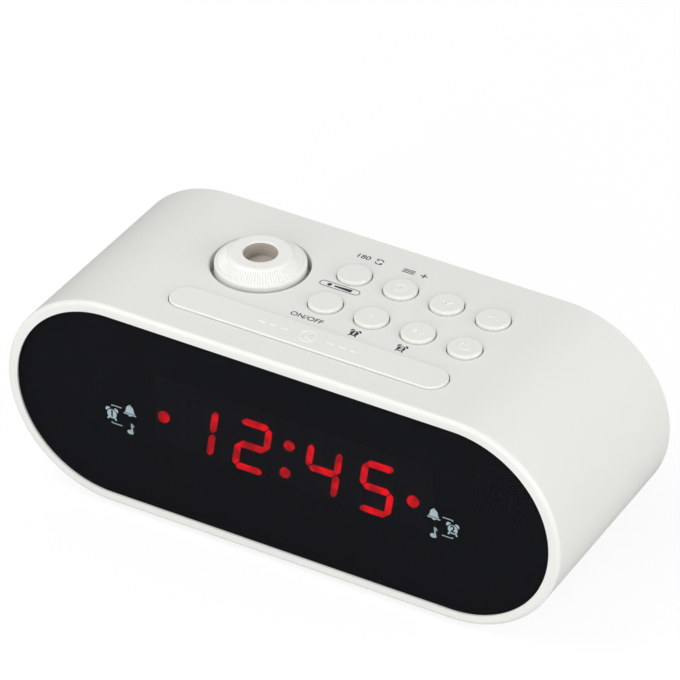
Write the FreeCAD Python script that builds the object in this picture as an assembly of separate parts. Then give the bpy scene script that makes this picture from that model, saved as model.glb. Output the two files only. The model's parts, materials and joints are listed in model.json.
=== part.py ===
# Projection alarm clock: a low casing with round ends, standing on four rubber feet.
# Millimetres. +X to the right as seen from the front, +Y to the back, +Z up.
# The origin is on the surface the clock stands on, under the middle of the casing.
import FreeCAD, Part
import os
from math import atan2, cos, degrees, pi, radians, sin, sqrt, tan

OUT = "parts"

# Casing: a sleeve that narrows a little to the back, as the mould needs
straight_length = 97.8
front_radius = 30.0
back_narrowing = 0.9
depth = 60.5
wall = 2.2
front_rounding = 1.2
back_chamfer = 0.4
foot_height = 1.5

# Front window and the lip that holds it
bezel_width = 3.0
window_recess = 0.5
window_thickness = 2.0
window_clearance = 0.1
window_chamfer = 0.25
gasket_thickness = 0.3
ledge_width = 1.6
ledge_thickness = 1.5

# Rear cover, in a rebate of the sleeve
cover_recess = 1.0
cover_thickness = 2.0
cover_rebate = 1.0
cover_clearance = 0.15

# Feet
foot_radius = 4.5
foot_seat_depth = 0.6
foot_seat_clearance = 0.1
foot_chamfer = 0.5
foot_inset_x = 9.0
foot_inset_y = 8.0

# Screws
screw_clearance = 0.05
large_shank_radius = 1.3
large_head_radius = 2.6
large_head_height = 1.8
large_shank_length = 10.0
large_boss_radius = 3.0
rear_screw_shift = 0.4
head_clearance = 0.2
head_seat_depth = 1.2
small_shank_radius = 1.0
small_head_radius = 1.9
small_head_height = 1.3
small_shank_length = 5.0
small_boss_radius = 2.3
cross_width = 0.7
cross_depth = 0.8
cross_share = 0.6

# Round buttons: four columns and two rows
button_columns = 4
button_rows = 2
button_pitch_x = 13.15
button_pitch_y = 14.6
first_button_x = -2.8
front_row_setback = 28.75
button_radius = 4.35
button_gap = 0.2
button_proud = 0.9
button_edge = 0.45
button_flange_width = 0.75
button_flange_thickness = 0.9
button_flange_gap = 0.2
button_stem_radius = 1.6
button_travel = 0.5
hole_rounding = 0.3

# Snooze bar
snooze_length = 78.2
snooze_width = 9.2
snooze_x = 1.0
snooze_setback = 13.45
snooze_gap = 0.25
snooze_proud = 0.6
snooze_edge = 0.4
snooze_travel = 0.5

# Push switches and the board that carries them, hung under the top
switch_side = 6.0
switch_height = 3.5
switch_rise = 0.8
plunger_radius = 1.6
plunger_gap = 0.1
plunger_depth = 2.0
board_thickness = 1.2
key_board_drop = 7.9
key_board_margin = 6.0
key_board_front_margin = 4.0
key_boss_offset_y = 7.3

# Projector: a turning dome, a sliding lens barrel and a fixed tube
projector_x = -25.7
projector_behind_row = 7.3
dome_radius = 11.7
dome_height = 3.7
dome_wall = 1.5
dome_land_thickness = 1.3
dome_cone_thickness = 2.1
dome_gap = 1.15
dome_land_radius = 7.4
dome_shoulder_radius = 8.5
dome_shoulder_drop = 0.45
dome_shoulder_share = 0.3
dome_flange_height = 0.95
dome_flange_drop = 0.25
dome_flange_width = 0.8
lens_hole_radius = 4.45
lens_hole_edge = 0.25
flute_count = 90
flute_depth = 0.3
flute_share = 0.8
flute_brim = 0.1
collar_width = 1.5
collar_drop = 2.1
dome_lip_width = 0.8
dome_lip_thickness = 1.2
dome_lip_gap = 0.2
running_clearance = 0.1
barrel_radius = 6.0
barrel_wall = 1.3
barrel_length = 14.0
barrel_top_gap = 1.7
lens_radius = 5.3
lens_seat_depth = 2.4
lens_edge = 1.0
lens_bulge = 0.55
lens_clearance = 0.03
tube_wall = 1.55
tube_top_drop = 3.4
sleeve_wall = 1.6
pin_count = 3
pin_radius = 0.8
pin_clearance = 0.12
pin_setback = 0.2
pin_drop = 8.0
focus_turn = 60.0
focus_travel = 1.5
sleeve_foot = 4.1
tube_flange_radius = 15.0
tube_flange_thickness = 2.0
ear_circle = 17.5
ear_angles = (60.0, 180.0, 320.0)
ear_radius = 3.2
slide_gap = 0.9
slide_width = 9.0
slide_height = 7.0
slide_thickness = 1.0
shoulder_thickness = 0.8
shoulder_width = 1.9
condenser_thickness = 3.0
condenser_edge = 1.2
condenser_gap = 0.6
seat_clearance = 0.05
spacer_length = 5.2
spacer_wall = 1.4
lamp_radius = 2.5
lamp_length = 4.4
lamp_shoulder = 0.9
lamp_board_rim = 1.5

# Display: four digits, a colon and two indicator dots on one module
display_x = 2.5
display_rise = 2.0
digit_height = 15.3
digit_width = 9.6
digit_pitch = 15.4
digit_colon_pitch = 20.1
digit_slant = 8.3
stroke = 1.6
stroke_gap = 0.28
segment_thickness = 0.6
colon_radius = 1.2
colon_rise = 4.15
colon_drop = 4.5
dot_radius = 1.5
dot_spread = 71.4
module_height = 21.0
module_margin = 3.2
module_depth = 6.0
module_gap = 1.0
display_board_margin = 3.0
board_floor_gap = 1.0
board_guide_width = 5.0
board_guide_wall = 1.8
board_guide_height = 8.0
shown_time = "1245"

# Main board and what stands on it. Each part has its middle as a share of the board's length and width.
main_board_length = 60.0
main_board_x = -1.5
main_board_lift = 6.3
main_board_gap = 0.5
main_boss_inset = 3.5
clock_chip = {"at": (0.30, 0.30), "long": 12.0, "wide": 8.0, "high": 2.2}
radio_chip = {"at": (0.57, 0.40), "long": 8.0, "wide": 8.0, "high": 2.2}
plug_socket = {"at": (0.58, 0.80), "long": 13.0, "wide": 4.0, "high": 5.5}
tuner_coil = {"at": (0.84, 0.50), "long": 7.0, "wide": 6.0, "high": 7.0}
large_can = {"at": (0.20, 0.72), "radius": 4.0, "high": 11.0}
middle_can = {"at": (0.36, 0.76), "radius": 3.2, "high": 8.8}
small_can = {"at": (0.79, 0.80), "radius": 2.8, "high": 7.7}

# Transformer at the left end
transformer_setback = 24.25
transformer_inset = 1.0
core_length_x = 20.0
core_length_y = 26.0
core_height = 22.0
core_lift = 3.8
coil_length_x = 29.0
coil_length_y = 18.0
coil_height = 14.0
coil_gap = 0.1
coil_rounding = 2.0
strap_width = 8.0
strap_thickness = 0.8
strap_ear = 5.5

# Speaker at the right end, firing out of the back
speaker_shift = 0.6
speaker_radius = 19.5
speaker_depth = 13.0
speaker_rim = 2.2
speaker_rim_thickness = 1.2
magnet_radius = 9.0
magnet_height = 5.0
speaker_holder_wall = 1.4
speaker_holder_length = 4.0
basket_sheet = 0.8
cone_sheet = 0.6
cone_roll = 1.2
cone_cap_radius = 4.8
cone_cap_rise = 1.2
grille_slot_width = 1.6
grille_slot_pitch = 3.6
grille_radius = 16.5

# Mains cord inlet and aerial outlet in the rear cover
inlet_spacing = 97.0
inlet_drop = 15.0
inlet_bore_radius = 2.6
bush_wall = 1.5
bush_flange = 1.3
bush_flange_thickness = 0.8
bush_tail = 3.0
bush_taper = 0.4
outlet_spacing = 12.0
outlet_bore_radius = 1.2
grommet_wall = 1.0

# Backup cell in a tray that pulls out of the back
cell_radius = 10.0
cell_height = 3.2
cell_gap = 0.15
cell_step = 0.9
tray_wall = 1.4
tray_floor = 1.2
tray_face_height = 6.2
tray_face_thickness = 1.6
tray_face_margin = 0.9
tray_face_gap = 0.05
tray_grip_height = 1.6
tray_clearance = 0.2
tray_x = 0.0
tray_drop = 15.5
tray_grip_depth = 0.8
holder_wall = 1.2
contact_thickness = 0.3
contact_width = 3.0
contact_reach = 4.0
contact_slot_width = 4.4
tray_travel = 24.0

# Vents over the transformer
vent_count = 5
vent_width = 1.6
vent_pitch = 3.4
vent_length = 16.0
cover_vent_rise = 4.0

# Places worked out from the sizes above
front_y = -depth / 2
back_y = depth / 2
back_radius = front_radius - back_narrowing
snooze_y = front_y + snooze_setback
front_row_y = front_y + front_row_setback
projector_y = front_row_y + projector_behind_row
axis_z = foot_height + front_radius
window_front_y = front_y + window_recess
window_back_y = window_front_y + window_thickness
ledge_front_y = window_back_y + gasket_thickness
ledge_back_y = ledge_front_y + ledge_thickness
window_radius = front_radius - bezel_width
cover_back_y = back_y - cover_recess
cover_front_y = cover_back_y - cover_thickness
past = 1.0
slightly_past = 0.4


def vector(x, y, z):
    return FreeCAD.Vector(x, y, z)


def outline(y, inset=0.0):
    """The end radius of the casing at depth y, taken in by inset."""
    share = (y - front_y) / depth
    return front_radius - back_narrowing * share - inset


def top_z(y):
    return axis_z + outline(y)


def ceiling_z(y):
    return axis_z + outline(y, wall)


def bottom_z(y):
    return axis_z - outline(y)


def floor_z(y):
    return axis_z - outline(y, wall)


def box(x0, x1, y0, y1, z0, z1):
    return Part.makeBox(x1 - x0, y1 - y0, z1 - z0, vector(x0, y0, z0))


def rod(radius, start, length, axis):
    return Part.makeCylinder(radius, length, start, axis)


UP = vector(0, 0, 1)
DOWN = vector(0, 0, -1)
BACK = vector(0, 1, 0)
FORWARD = vector(0, -1, 0)


def casing_block(y0, y1, inset=0.0):
    """The solid between two depths whose sides run parallel to the casing's, inset from them."""
    return round_ended_block(outline(y0, inset), outline(y1, inset), y0, y1)


def straight_block(radius, y0, y1):
    return round_ended_block(radius, radius, y0, y1)


def round_ended_block(radius0, radius1, y0, y1):
    """A block along Y with round ends: its radius goes from radius0 at depth y0 to radius1 at depth y1."""
    half = straight_length / 2
    ends = []
    for x in (-half, half):
        start = vector(x, y0, axis_z)
        if radius0 == radius1:
            ends.append(Part.makeCylinder(radius0, y1 - y0, start, BACK))
        else:
            ends.append(Part.makeCone(radius0, radius1, y1 - y0, start, BACK))
    side = Part.makePolygon([
        vector(-half, y0, axis_z - radius0),
        vector(-half, y0, axis_z + radius0),
        vector(-half, y1, axis_z + radius1),
        vector(-half, y1, axis_z - radius1),
        vector(-half, y0, axis_z - radius0),
    ])
    middle = Part.Face(side).extrude(vector(2 * half, 0, 0))
    return middle.fuse(ends).removeSplitter()


def bar_block(length, width, x, y, z0, z1):
    """An upright block with round ends, lying along X."""
    half, radius = (length - width) / 2, width / 2
    corners = [vector(x + half, y - radius, z0), vector(x + half, y + radius, z0)]
    corners += [vector(x - half, y + radius, z0), vector(x - half, y - radius, z0)]
    ends = [vector(x + half + radius, y, z0), vector(x - half - radius, y, z0)]
    edges = [
        Part.Arc(corners[0], ends[0], corners[1]).toShape(),
        Part.LineSegment(corners[1], corners[2]).toShape(),
        Part.Arc(corners[2], ends[1], corners[3]).toShape(),
        Part.LineSegment(corners[3], corners[0]).toShape(),
    ]
    return Part.Face(Part.Wire(edges)).extrude(vector(0, 0, z1 - z0))


def turned(profile, x, y):
    """A solid turned about the upright axis through x, y from a closed profile of (radius, z) points."""
    points = [vector(x + r, y, z) for r, z in profile]
    face = Part.Face(Part.makePolygon(points + points[:1]))
    return face.revolve(vector(x, y, 0), UP, 360)


def turned_back(profile, x, z):
    """A solid turned about the axis through x, z that runs front to back, from (radius, y) points."""
    points = [vector(x + r, y, z) for r, y in profile]
    face = Part.Face(Part.makePolygon(points + points[:1]))
    return face.revolve(vector(x, 0, z), BACK, 360)


def ring(outer, inner, x, y, z0, z1):
    return turned([(inner, z0), (outer, z0), (outer, z1), (inner, z1)], x, y)


def group(solids):
    return Part.makeCompound(solids)


def edges_at(shape, test):
    """The edges of a shape whose middle point passes a test."""
    found = []
    for edge in shape.Edges:
        middle = edge.valueAt((edge.FirstParameter + edge.LastParameter) / 2)
        if test(middle):
            found.append(edge)
    return found


def screw(head, axis, shank_radius, shank_length, head_radius, head_height):
    """A flat-headed screw. head is the middle of the head's outer face and axis points into the hole."""
    seat = head + axis * head_height
    return rod(head_radius, head, head_height, axis).fuse(rod(shank_radius, seat, shank_length, axis))


def large_screw(head, axis):
    """A cross-head screw of the rear cover."""
    solid = screw(head, axis, large_shank_radius, large_shank_length, large_head_radius, large_head_height)
    reach = large_head_radius * cross_share
    for along in (vector(1, 0, 0), vector(0, 0, 1)):
        side = axis.cross(along) * (cross_width / 2)
        end = along * reach
        corners = [head - end - side, head + end - side, head + end + side, head - end + side]
        solid = solid.cut(Part.Face(Part.makePolygon(corners + corners[:1])).extrude(axis * cross_depth))
    return solid


def small_screw(head, axis):
    return screw(head, axis, small_shank_radius, small_shank_length, small_head_radius, small_head_height)


# Places of the repeated pieces
button_names = ("flip", "memory", "down", "up", "projection", "alarm_one", "alarm_two", "power")


def button_places():
    """Name, x and y of each round button, the back row first."""
    places = []
    for row in range(button_rows):
        y = front_row_y + button_pitch_y * (button_rows - 1 - row)
        for column in range(button_columns):
            name = button_names[row * button_columns + column]
            places.append((name, first_button_x + column * button_pitch_x, y))
    return places


def rear_screw_places():
    x = straight_length / 2 - large_boss_radius - rear_screw_shift
    z = outline(cover_front_y, wall) - large_boss_radius + rear_screw_shift
    return [(side * x, axis_z + level * z) for side in (-1, 1) for level in (-1, 1)]


def foot_places():
    x = straight_length / 2 - foot_inset_x
    y = depth / 2 - foot_inset_y
    return [(side * x, end * y) for side in (-1, 1) for end in (-1, 1)]


def key_boss_places():
    """Bosses between the buttons and in front of them."""
    middle_y = front_row_y + button_pitch_y / 2
    between = [first_button_x + (column + 0.5) * button_pitch_x for column in range(button_columns - 1)]
    return [(between[0], middle_y), (between[-1], middle_y), (between[1], front_row_y - key_boss_offset_y)]


def ear_places():
    """Where the projector's tube is screwed to the top."""
    return [
        (projector_x + ear_circle * cos(radians(a)), projector_y + ear_circle * sin(radians(a)))
        for a in ear_angles
    ]


def main_board_corner():
    return main_board_x - main_board_length / 2, main_board_front_y


def main_boss_places():
    x0, y0 = main_board_corner()
    xs = (x0 + main_boss_inset, x0 + main_board_length - main_boss_inset)
    ys = (y0 + main_boss_inset, y0 + main_board_width - main_boss_inset)
    return [(x, y) for x in xs for y in ys]


def strap_screw_places():
    reach = core_length_y / 2 + strap_thickness + strap_ear / 2
    return [(transformer_x, transformer_y - reach), (transformer_x, transformer_y + reach)]


def floor_boss_places():
    return main_boss_places() + strap_screw_places()


key_board_top = ceiling_z(front_row_y) - key_board_drop
key_board_bottom = key_board_top - board_thickness
stem_foot_z = key_board_top + switch_height + switch_rise
projector_top = top_z(projector_y)
opening_radius = dome_radius + dome_gap
collar_foot_z = ceiling_z(projector_y) - collar_drop
tube_inner = barrel_radius + running_clearance
tube_outer = tube_inner + tube_wall
sleeve_inner = tube_outer + running_clearance
sleeve_outer = sleeve_inner + sleeve_wall
pin_z = projector_top - pin_drop
sleeve_foot_z = pin_z - sleeve_foot
tube_flange_top = sleeve_foot_z - running_clearance
barrel_top = projector_top + dome_height - barrel_top_gap - focus_travel
barrel_foot = barrel_top - barrel_length
slide_top = barrel_foot - focus_travel - slide_gap
shoulder_top = slide_top - slide_thickness
shoulder_foot = shoulder_top - shoulder_thickness
spacer_top = shoulder_foot - condenser_thickness
lamp_board_top = spacer_top - spacer_length
module_front_y = window_back_y + module_gap
display_board_front_y = module_front_y + module_depth
display_board_back_y = display_board_front_y + board_thickness
display_z = axis_z + display_rise
transformer_x = transformer_inset - straight_length / 2
transformer_y = front_y + transformer_setback
speaker_x = straight_length / 2 + speaker_shift
inlet_x = -inlet_spacing / 2
inlet_z = axis_z - inlet_drop
outlet_x = inlet_x + outlet_spacing
tray_z = axis_z - tray_drop
cell_y = cover_front_y - tray_wall - cell_radius - cell_gap
holder_front_y = cell_y - cell_radius - cell_gap - tray_wall - tray_clearance - holder_wall
main_board_front_y = display_board_back_y + board_guide_wall + main_board_gap
main_board_width = holder_front_y - main_board_gap - main_board_front_y


def make_main_shell():
    """The sleeve: lip at the front, rebate at the back, holes in the top, bosses inside."""
    body = casing_block(front_y, back_y)
    body = body.makeFillet(front_rounding, edges_at(body, lambda p: abs(p.y - front_y) < 0.01))
    body = body.makeChamfer(back_chamfer, edges_at(body, lambda p: abs(p.y - back_y) < 0.01))
    body = body.cut(casing_block(ledge_back_y, back_y + past, wall))
    body = body.cut(casing_block(cover_front_y, back_y + past, wall - cover_rebate))
    pocket_radius = window_radius + window_clearance
    body = body.cut(straight_block(pocket_radius, front_y - past, ledge_front_y))
    body = body.cut(straight_block(window_radius - ledge_width, front_y, ledge_back_y + past))
    added = []
    for x, z in rear_screw_places():
        length = large_shank_length + large_boss_radius
        added.append(rod(large_boss_radius, vector(x, cover_front_y, z), length, FORWARD))
    added += [boss(x, y, key_board_top, ceiling_z(y) + wall / 2) for x, y in key_boss_places()]
    added += [boss(x, y, tube_flange_top, ceiling_z(y) + wall / 2) for x, y in ear_places()]
    added += [boss(x, y, bottom_z(y) + wall / 2, boss_top(x)) for x, y in floor_boss_places()]
    collar = ring(opening_radius + collar_width, opening_radius, projector_x, projector_y,
                  collar_foot_z, ceiling_z(projector_y) + wall / 2)
    added.append(collar)
    for x in board_guide_xs():
        y0 = display_board_front_y - board_guide_wall
        y1 = display_board_back_y + board_guide_wall
        guide = box(x - board_guide_width / 2, x + board_guide_width / 2, y0, y1,
                    bottom_z(y0) + wall / 2, floor_z(y0) + board_guide_height)
        added.append(guide)
    body = body.fuse(added)
    cuts = []
    for x, z in rear_screw_places():
        hole = large_shank_radius + screw_clearance
        cuts.append(rod(hole, vector(x, cover_front_y + past, z), large_shank_length + past, FORWARD))
    small_hole = small_shank_radius + screw_clearance
    for x, y in key_boss_places():
        cuts.append(rod(small_hole, vector(x, y, key_board_top - past), small_shank_length + past, UP))
    for x, y in ear_places():
        cuts.append(rod(small_hole, vector(x, y, tube_flange_top - past), small_shank_length + past, UP))
    for x, y in floor_boss_places():
        cuts.append(rod(small_hole, vector(x, y, boss_top(x) + past), small_shank_length + past, DOWN))
    for _, x, y in button_places():
        cuts.append(rounded_hole(button_radius + button_gap, x, y))
    cuts.append(snooze_slot())
    cuts.append(rounded_hole(opening_radius, projector_x, projector_y))
    for x, y in foot_places():
        cuts.append(rod(foot_radius + foot_seat_clearance, vector(x, y, 0), foot_seat_z(y), UP))
    for x in board_guide_xs():
        slot_y0 = display_board_front_y - running_clearance
        slot_y1 = display_board_back_y + running_clearance
        cuts.append(box(x - board_guide_width, x + board_guide_width, slot_y0, slot_y1,
                        floor_z(slot_y0) + board_floor_gap - running_clearance, axis_z))
    for place in range(vent_count):
        x = transformer_x + (place - (vent_count - 1) / 2) * vent_pitch
        y0 = transformer_y - vent_length / 2
        cuts.append(box(x - vent_width / 2, x + vent_width / 2, y0, y0 + vent_length, 0, floor_z(y0) + past))
    return body.cut(cuts).removeSplitter()


def boss(x, y, z0, z1):
    return rod(small_boss_radius, vector(x, y, z0), z1 - z0, UP)


def boss_top(x):
    """The floor bosses under the main board and under the transformer's strap have their own heights."""
    return main_board_z if x > transformer_x + core_length_x else strap_foot_z


main_board_z = floor_z(0) + main_board_lift
strap_foot_z = floor_z(0) + core_lift


def board_guide_xs():
    reach = module_length() / 2 - board_guide_width
    return (display_x - reach, display_x + reach)


def module_length():
    return dot_spread + 2 * (dot_radius + module_margin)


def foot_seat_z(y):
    return bottom_z(y) + foot_seat_depth


def rounded_hole(radius, x, y):
    """The cutter for a round hole in the top, with its rounded mouth as a cone of the same width."""
    z = top_z(y)
    profile = [
        (0, ceiling_z(y) - wall),
        (radius, ceiling_z(y) - wall),
        (radius, z - hole_rounding),
        (radius + hole_rounding * 0.3, z - hole_rounding * 0.3),
        (radius + hole_rounding, z),
        (radius + hole_rounding + past, z + past),
        (0, z + past),
    ]
    return turned(profile, x, y)


def snooze_slot():
    z = top_z(snooze_y)
    length, width = snooze_length + 2 * snooze_gap, snooze_width + 2 * snooze_gap
    return bar_block(length, width, snooze_x, snooze_y, ceiling_z(snooze_y) - wall, z + past)


def make_front_window():
    plate = straight_block(window_radius, window_front_y, window_back_y)
    return plate.makeChamfer(window_chamfer, edges_at(plate, lambda p: abs(p.y - window_front_y) < 0.01))


def make_window_gasket():
    outer = straight_block(window_radius, window_back_y, ledge_front_y)
    return outer.cut(straight_block(window_radius - ledge_width, window_back_y - past, ledge_front_y + past))


def make_rubber_feet():
    feet = []
    for x, y in foot_places():
        top = foot_seat_z(y)
        profile = [
            (0, 0),
            (foot_radius - foot_chamfer, 0),
            (foot_radius, foot_chamfer),
            (foot_radius, top),
            (0, top),
        ]
        feet.append(turned(profile, x, y))
    return group(feet)


def make_rear_cover():
    """The cover: speaker slots, vents, the cord's inlet, the aerial's outlet and the cell tray's mouth."""
    plate = casing_block(cover_front_y, cover_back_y, wall - cover_rebate + cover_clearance)
    holder_outer = speaker_radius + running_clearance + speaker_holder_wall
    holder = turned_back([
        (speaker_radius + running_clearance, cover_front_y - speaker_holder_length),
        (holder_outer, cover_front_y - speaker_holder_length),
        (holder_outer, cover_front_y + wall / 2),
        (speaker_radius + running_clearance, cover_front_y + wall / 2),
    ], speaker_x, axis_z)
    plate = plate.fuse(holder)
    cuts = []
    for x, z in rear_screw_places():
        cuts.append(through_cover(large_shank_radius + head_clearance, x, z))
        seat = vector(x, cover_back_y - head_seat_depth, z)
        cuts.append(rod(large_head_radius + head_clearance, seat, head_seat_depth + past, BACK))
    slots = int(grille_radius / grille_slot_pitch)
    for place in range(-slots, slots + 1):
        z = axis_z + place * grille_slot_pitch
        half = sqrt(grille_radius**2 - (place * grille_slot_pitch) ** 2)
        cuts.append(box(speaker_x - half, speaker_x + half, cover_front_y - past, cover_back_y + past,
                        z - grille_slot_width / 2, z + grille_slot_width / 2))
    for place in range(vent_count):
        z = axis_z + cover_vent_rise + place * vent_pitch
        cuts.append(box(inlet_x - vent_length / 2, inlet_x + vent_length / 2,
                        cover_front_y - past, cover_back_y + past, z - vent_width / 2, z + vent_width / 2))
    cuts.append(through_cover(inlet_bore_radius + bush_wall, inlet_x, inlet_z))
    cuts.append(through_cover(outlet_bore_radius + grommet_wall, outlet_x, inlet_z))
    half_x, half_z = tray_half_width() + tray_clearance, tray_height() / 2 + tray_clearance
    cuts.append(box(tray_x - half_x, tray_x + half_x, cover_front_y - past, cover_back_y + past,
                    tray_z - half_z, tray_z + half_z))
    face_x, face_z = half_x + tray_face_margin, tray_face_height / 2 + tray_clearance
    cuts.append(box(tray_x - face_x, tray_x + face_x, cover_back_y - tray_face_thickness - tray_face_gap,
                    cover_back_y + past, tray_z - face_z, tray_z + face_z))
    return plate.cut(cuts).removeSplitter()


def through_cover(radius, x, z):
    return rod(radius, vector(x, cover_front_y - past, z), cover_thickness + 2 * past, BACK)


def make_rear_screws():
    head_y = cover_back_y - head_seat_depth + large_head_height
    return group([large_screw(vector(x, head_y, z), FORWARD) for x, z in rear_screw_places()])


def make_bush(bore, bush_thickness, x):
    """A flanged bush in the rear cover, with its tail inside."""
    outer = bore + bush_thickness
    flange_back = cover_back_y + bush_flange_thickness
    return turned_back([
        (bore, cover_front_y - bush_tail),
        (outer - bush_taper, cover_front_y - bush_tail),
        (outer, cover_front_y - bush_tail + bush_taper * 2),
        (outer, cover_back_y),
        (outer + bush_flange, cover_back_y),
        (outer + bush_flange - bush_taper, flange_back),
        (bore, flange_back),
    ], x, inlet_z)


def tray_half_width():
    return cell_radius + cell_gap + tray_wall


def tray_height():
    return tray_floor + cell_gap + cell_height


def make_cell_tray():
    """The tray: a pocket for the cell, a slot under it for the contact, and a face with a finger lip."""
    half_x, height = tray_half_width(), tray_height()
    z0 = tray_z - height / 2
    y0 = cell_y - cell_radius - cell_gap - tray_wall
    face_front = cover_back_y - tray_face_thickness
    body = box(tray_x - half_x, tray_x + half_x, y0, face_front, z0, z0 + height)
    pocket = rod(cell_radius + cell_gap, vector(tray_x, cell_y, z0 + tray_floor), height, UP)
    slot = box(tray_x - contact_slot_width / 2, tray_x + contact_slot_width / 2, y0 - past, cell_y,
               z0 - past, z0 + tray_floor + past)
    body = body.cut([pocket, slot])
    face_x = half_x + tray_face_margin
    face_z = tray_face_height / 2
    face = box(tray_x - face_x, tray_x + face_x, face_front, cover_back_y, tray_z - face_z, tray_z + face_z)
    grip = box(tray_x - half_x / 2, tray_x + half_x / 2, cover_back_y - tray_grip_depth, cover_back_y + past,
               tray_z - face_z - past, tray_z - face_z + tray_grip_height)
    return body.fuse(face).cut(grip).removeSplitter()


def make_coin_cell():
    z0 = tray_z - tray_height() / 2 + tray_floor + cell_gap / 2
    rim = cell_radius - cell_step
    profile = [
        (0, z0),
        (rim, z0),
        (rim, z0 + cell_step / 3),
        (cell_radius, z0 + cell_step * 2 / 3),
        (cell_radius, z0 + cell_height),
        (0, z0 + cell_height),
    ]
    return turned(profile, tray_x, cell_y)


def holder_inner():
    """Half width, low and high inside of the sleeve that guides the tray."""
    half_z = tray_height() / 2 + tray_clearance
    return tray_half_width() + tray_clearance, tray_z - half_z, tray_z + half_z + contact_thickness


def make_cell_holder():
    half_x, z0, z1 = holder_inner()
    y0 = cell_y - cell_radius - cell_gap - tray_wall - tray_clearance
    outer = box(tray_x - half_x - holder_wall, tray_x + half_x + holder_wall, y0 - holder_wall, cover_front_y,
                z0 - holder_wall, z1 + holder_wall)
    inner = box(tray_x - half_x, tray_x + half_x, y0, cover_front_y + past, z0, z1)
    return outer.cut(inner)


def make_cell_contacts():
    """A leaf over the cell and a leaf in the tray's slot under it, both on the holder's walls."""
    _, z0, z1 = holder_inner()
    half = contact_width / 2
    y0 = cell_y - cell_radius - cell_gap - tray_wall - tray_clearance
    upper = box(tray_x - half, tray_x + half, y0, cell_y + contact_reach / 2, z1 - contact_thickness, z1)
    rise = tray_z - tray_height() / 2 + tray_floor
    step_y = cell_y - cell_radius + contact_reach
    lower = box(tray_x - half, tray_x + half, y0, step_y, z0, z0 + contact_thickness)
    step = box(tray_x - half, tray_x + half, step_y, step_y + 2 * contact_thickness, z0, rise)
    return group([upper, lower.fuse(step).removeSplitter()])


def make_button(x, y):
    """A round cap with a rounded edge, the flange that keeps it in its hole and the stem on its switch."""
    top = top_z(y) + button_proud
    flange_top = ceiling_z(y) - button_flange_gap
    flange_foot = flange_top - button_flange_thickness
    flange = button_radius + button_flange_width
    bend = button_edge * (1 - sqrt(0.5))
    profile = [
        (0, stem_foot_z),
        (button_stem_radius, stem_foot_z),
        (button_stem_radius, flange_foot),
        (flange, flange_foot),
        (flange, flange_top),
        (button_radius, flange_top),
        (button_radius, top - button_edge),
        (button_radius - bend, top - bend),
        (button_radius - button_edge, top),
        (0, top),
    ]
    return turned(profile, x, y)


def make_plunger(x, y):
    foot = key_board_top + switch_height - plunger_depth
    return rod(plunger_radius, vector(x, y, foot), stem_foot_z - foot, UP)


def make_switch(x, y):
    half = switch_side / 2
    housing = box(x - half, x + half, y - half, y + half, key_board_top, key_board_top + switch_height)
    hole_foot = key_board_top + switch_height - plunger_depth - button_travel - plunger_gap
    return housing.cut(rod(plunger_radius + plunger_gap, vector(x, y, hole_foot), switch_height, UP))


def make_snooze_bar():
    top = top_z(snooze_y) + snooze_proud
    flange_top = ceiling_z(snooze_y) - button_flange_gap
    flange_foot = flange_top - button_flange_thickness
    bar = bar_block(snooze_length, snooze_width, snooze_x, snooze_y, flange_foot, top)
    bar = bar.makeFillet(snooze_edge, edges_at(bar, lambda p: abs(p.z - top) < 0.01))
    length, width = snooze_length + 2 * button_flange_width, snooze_width + 2 * button_flange_width
    flange = bar_block(length, width, snooze_x, snooze_y, flange_foot, flange_top)
    stem = rod(button_stem_radius, vector(snooze_x, snooze_y, stem_foot_z), flange_foot - stem_foot_z, UP)
    return bar.fuse([flange, stem]).removeSplitter()


def switch_places():
    return [(x, y) for _, x, y in button_places()] + [(snooze_x, snooze_y)]


def make_key_board():
    xs = [x for _, x, _ in button_places()]
    ys = [y for _, _, y in button_places()]
    board = box(min(xs) - key_board_margin, max(xs) + key_board_margin, snooze_y - key_board_front_margin,
                max(ys) + key_board_margin, key_board_bottom, key_board_top)
    hole = small_shank_radius + screw_clearance
    return board.cut([rod(hole, vector(x, y, key_board_bottom - past), board_thickness + 2 * past, UP)
                      for x, y in key_boss_places()])


def make_small_screws():
    """The same screw holds the boards, the projector's tube and the transformer's strap."""
    board_head = main_board_z + board_thickness + small_head_height
    key_head = key_board_bottom - small_head_height
    tube_head = tube_flange_top - tube_flange_thickness - small_head_height
    strap_head = strap_foot_z + strap_thickness + small_head_height
    screws = [small_screw(vector(x, y, board_head), DOWN) for x, y in main_boss_places()]
    screws += [small_screw(vector(x, y, key_head), UP) for x, y in key_boss_places()]
    screws += [small_screw(vector(x, y, tube_head), UP) for x, y in ear_places()]
    screws += [small_screw(vector(x, y, strap_head), DOWN) for x, y in strap_screw_places()]
    return group(screws)


def dome_slope(radius):
    """Height of the dome's fluted cone at a radius."""
    share = (radius - dome_shoulder_radius) / (dome_radius - dome_flange_width - dome_shoulder_radius)
    high = dome_height - dome_shoulder_drop
    return projector_top + high + (dome_flange_height - high) * share


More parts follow.
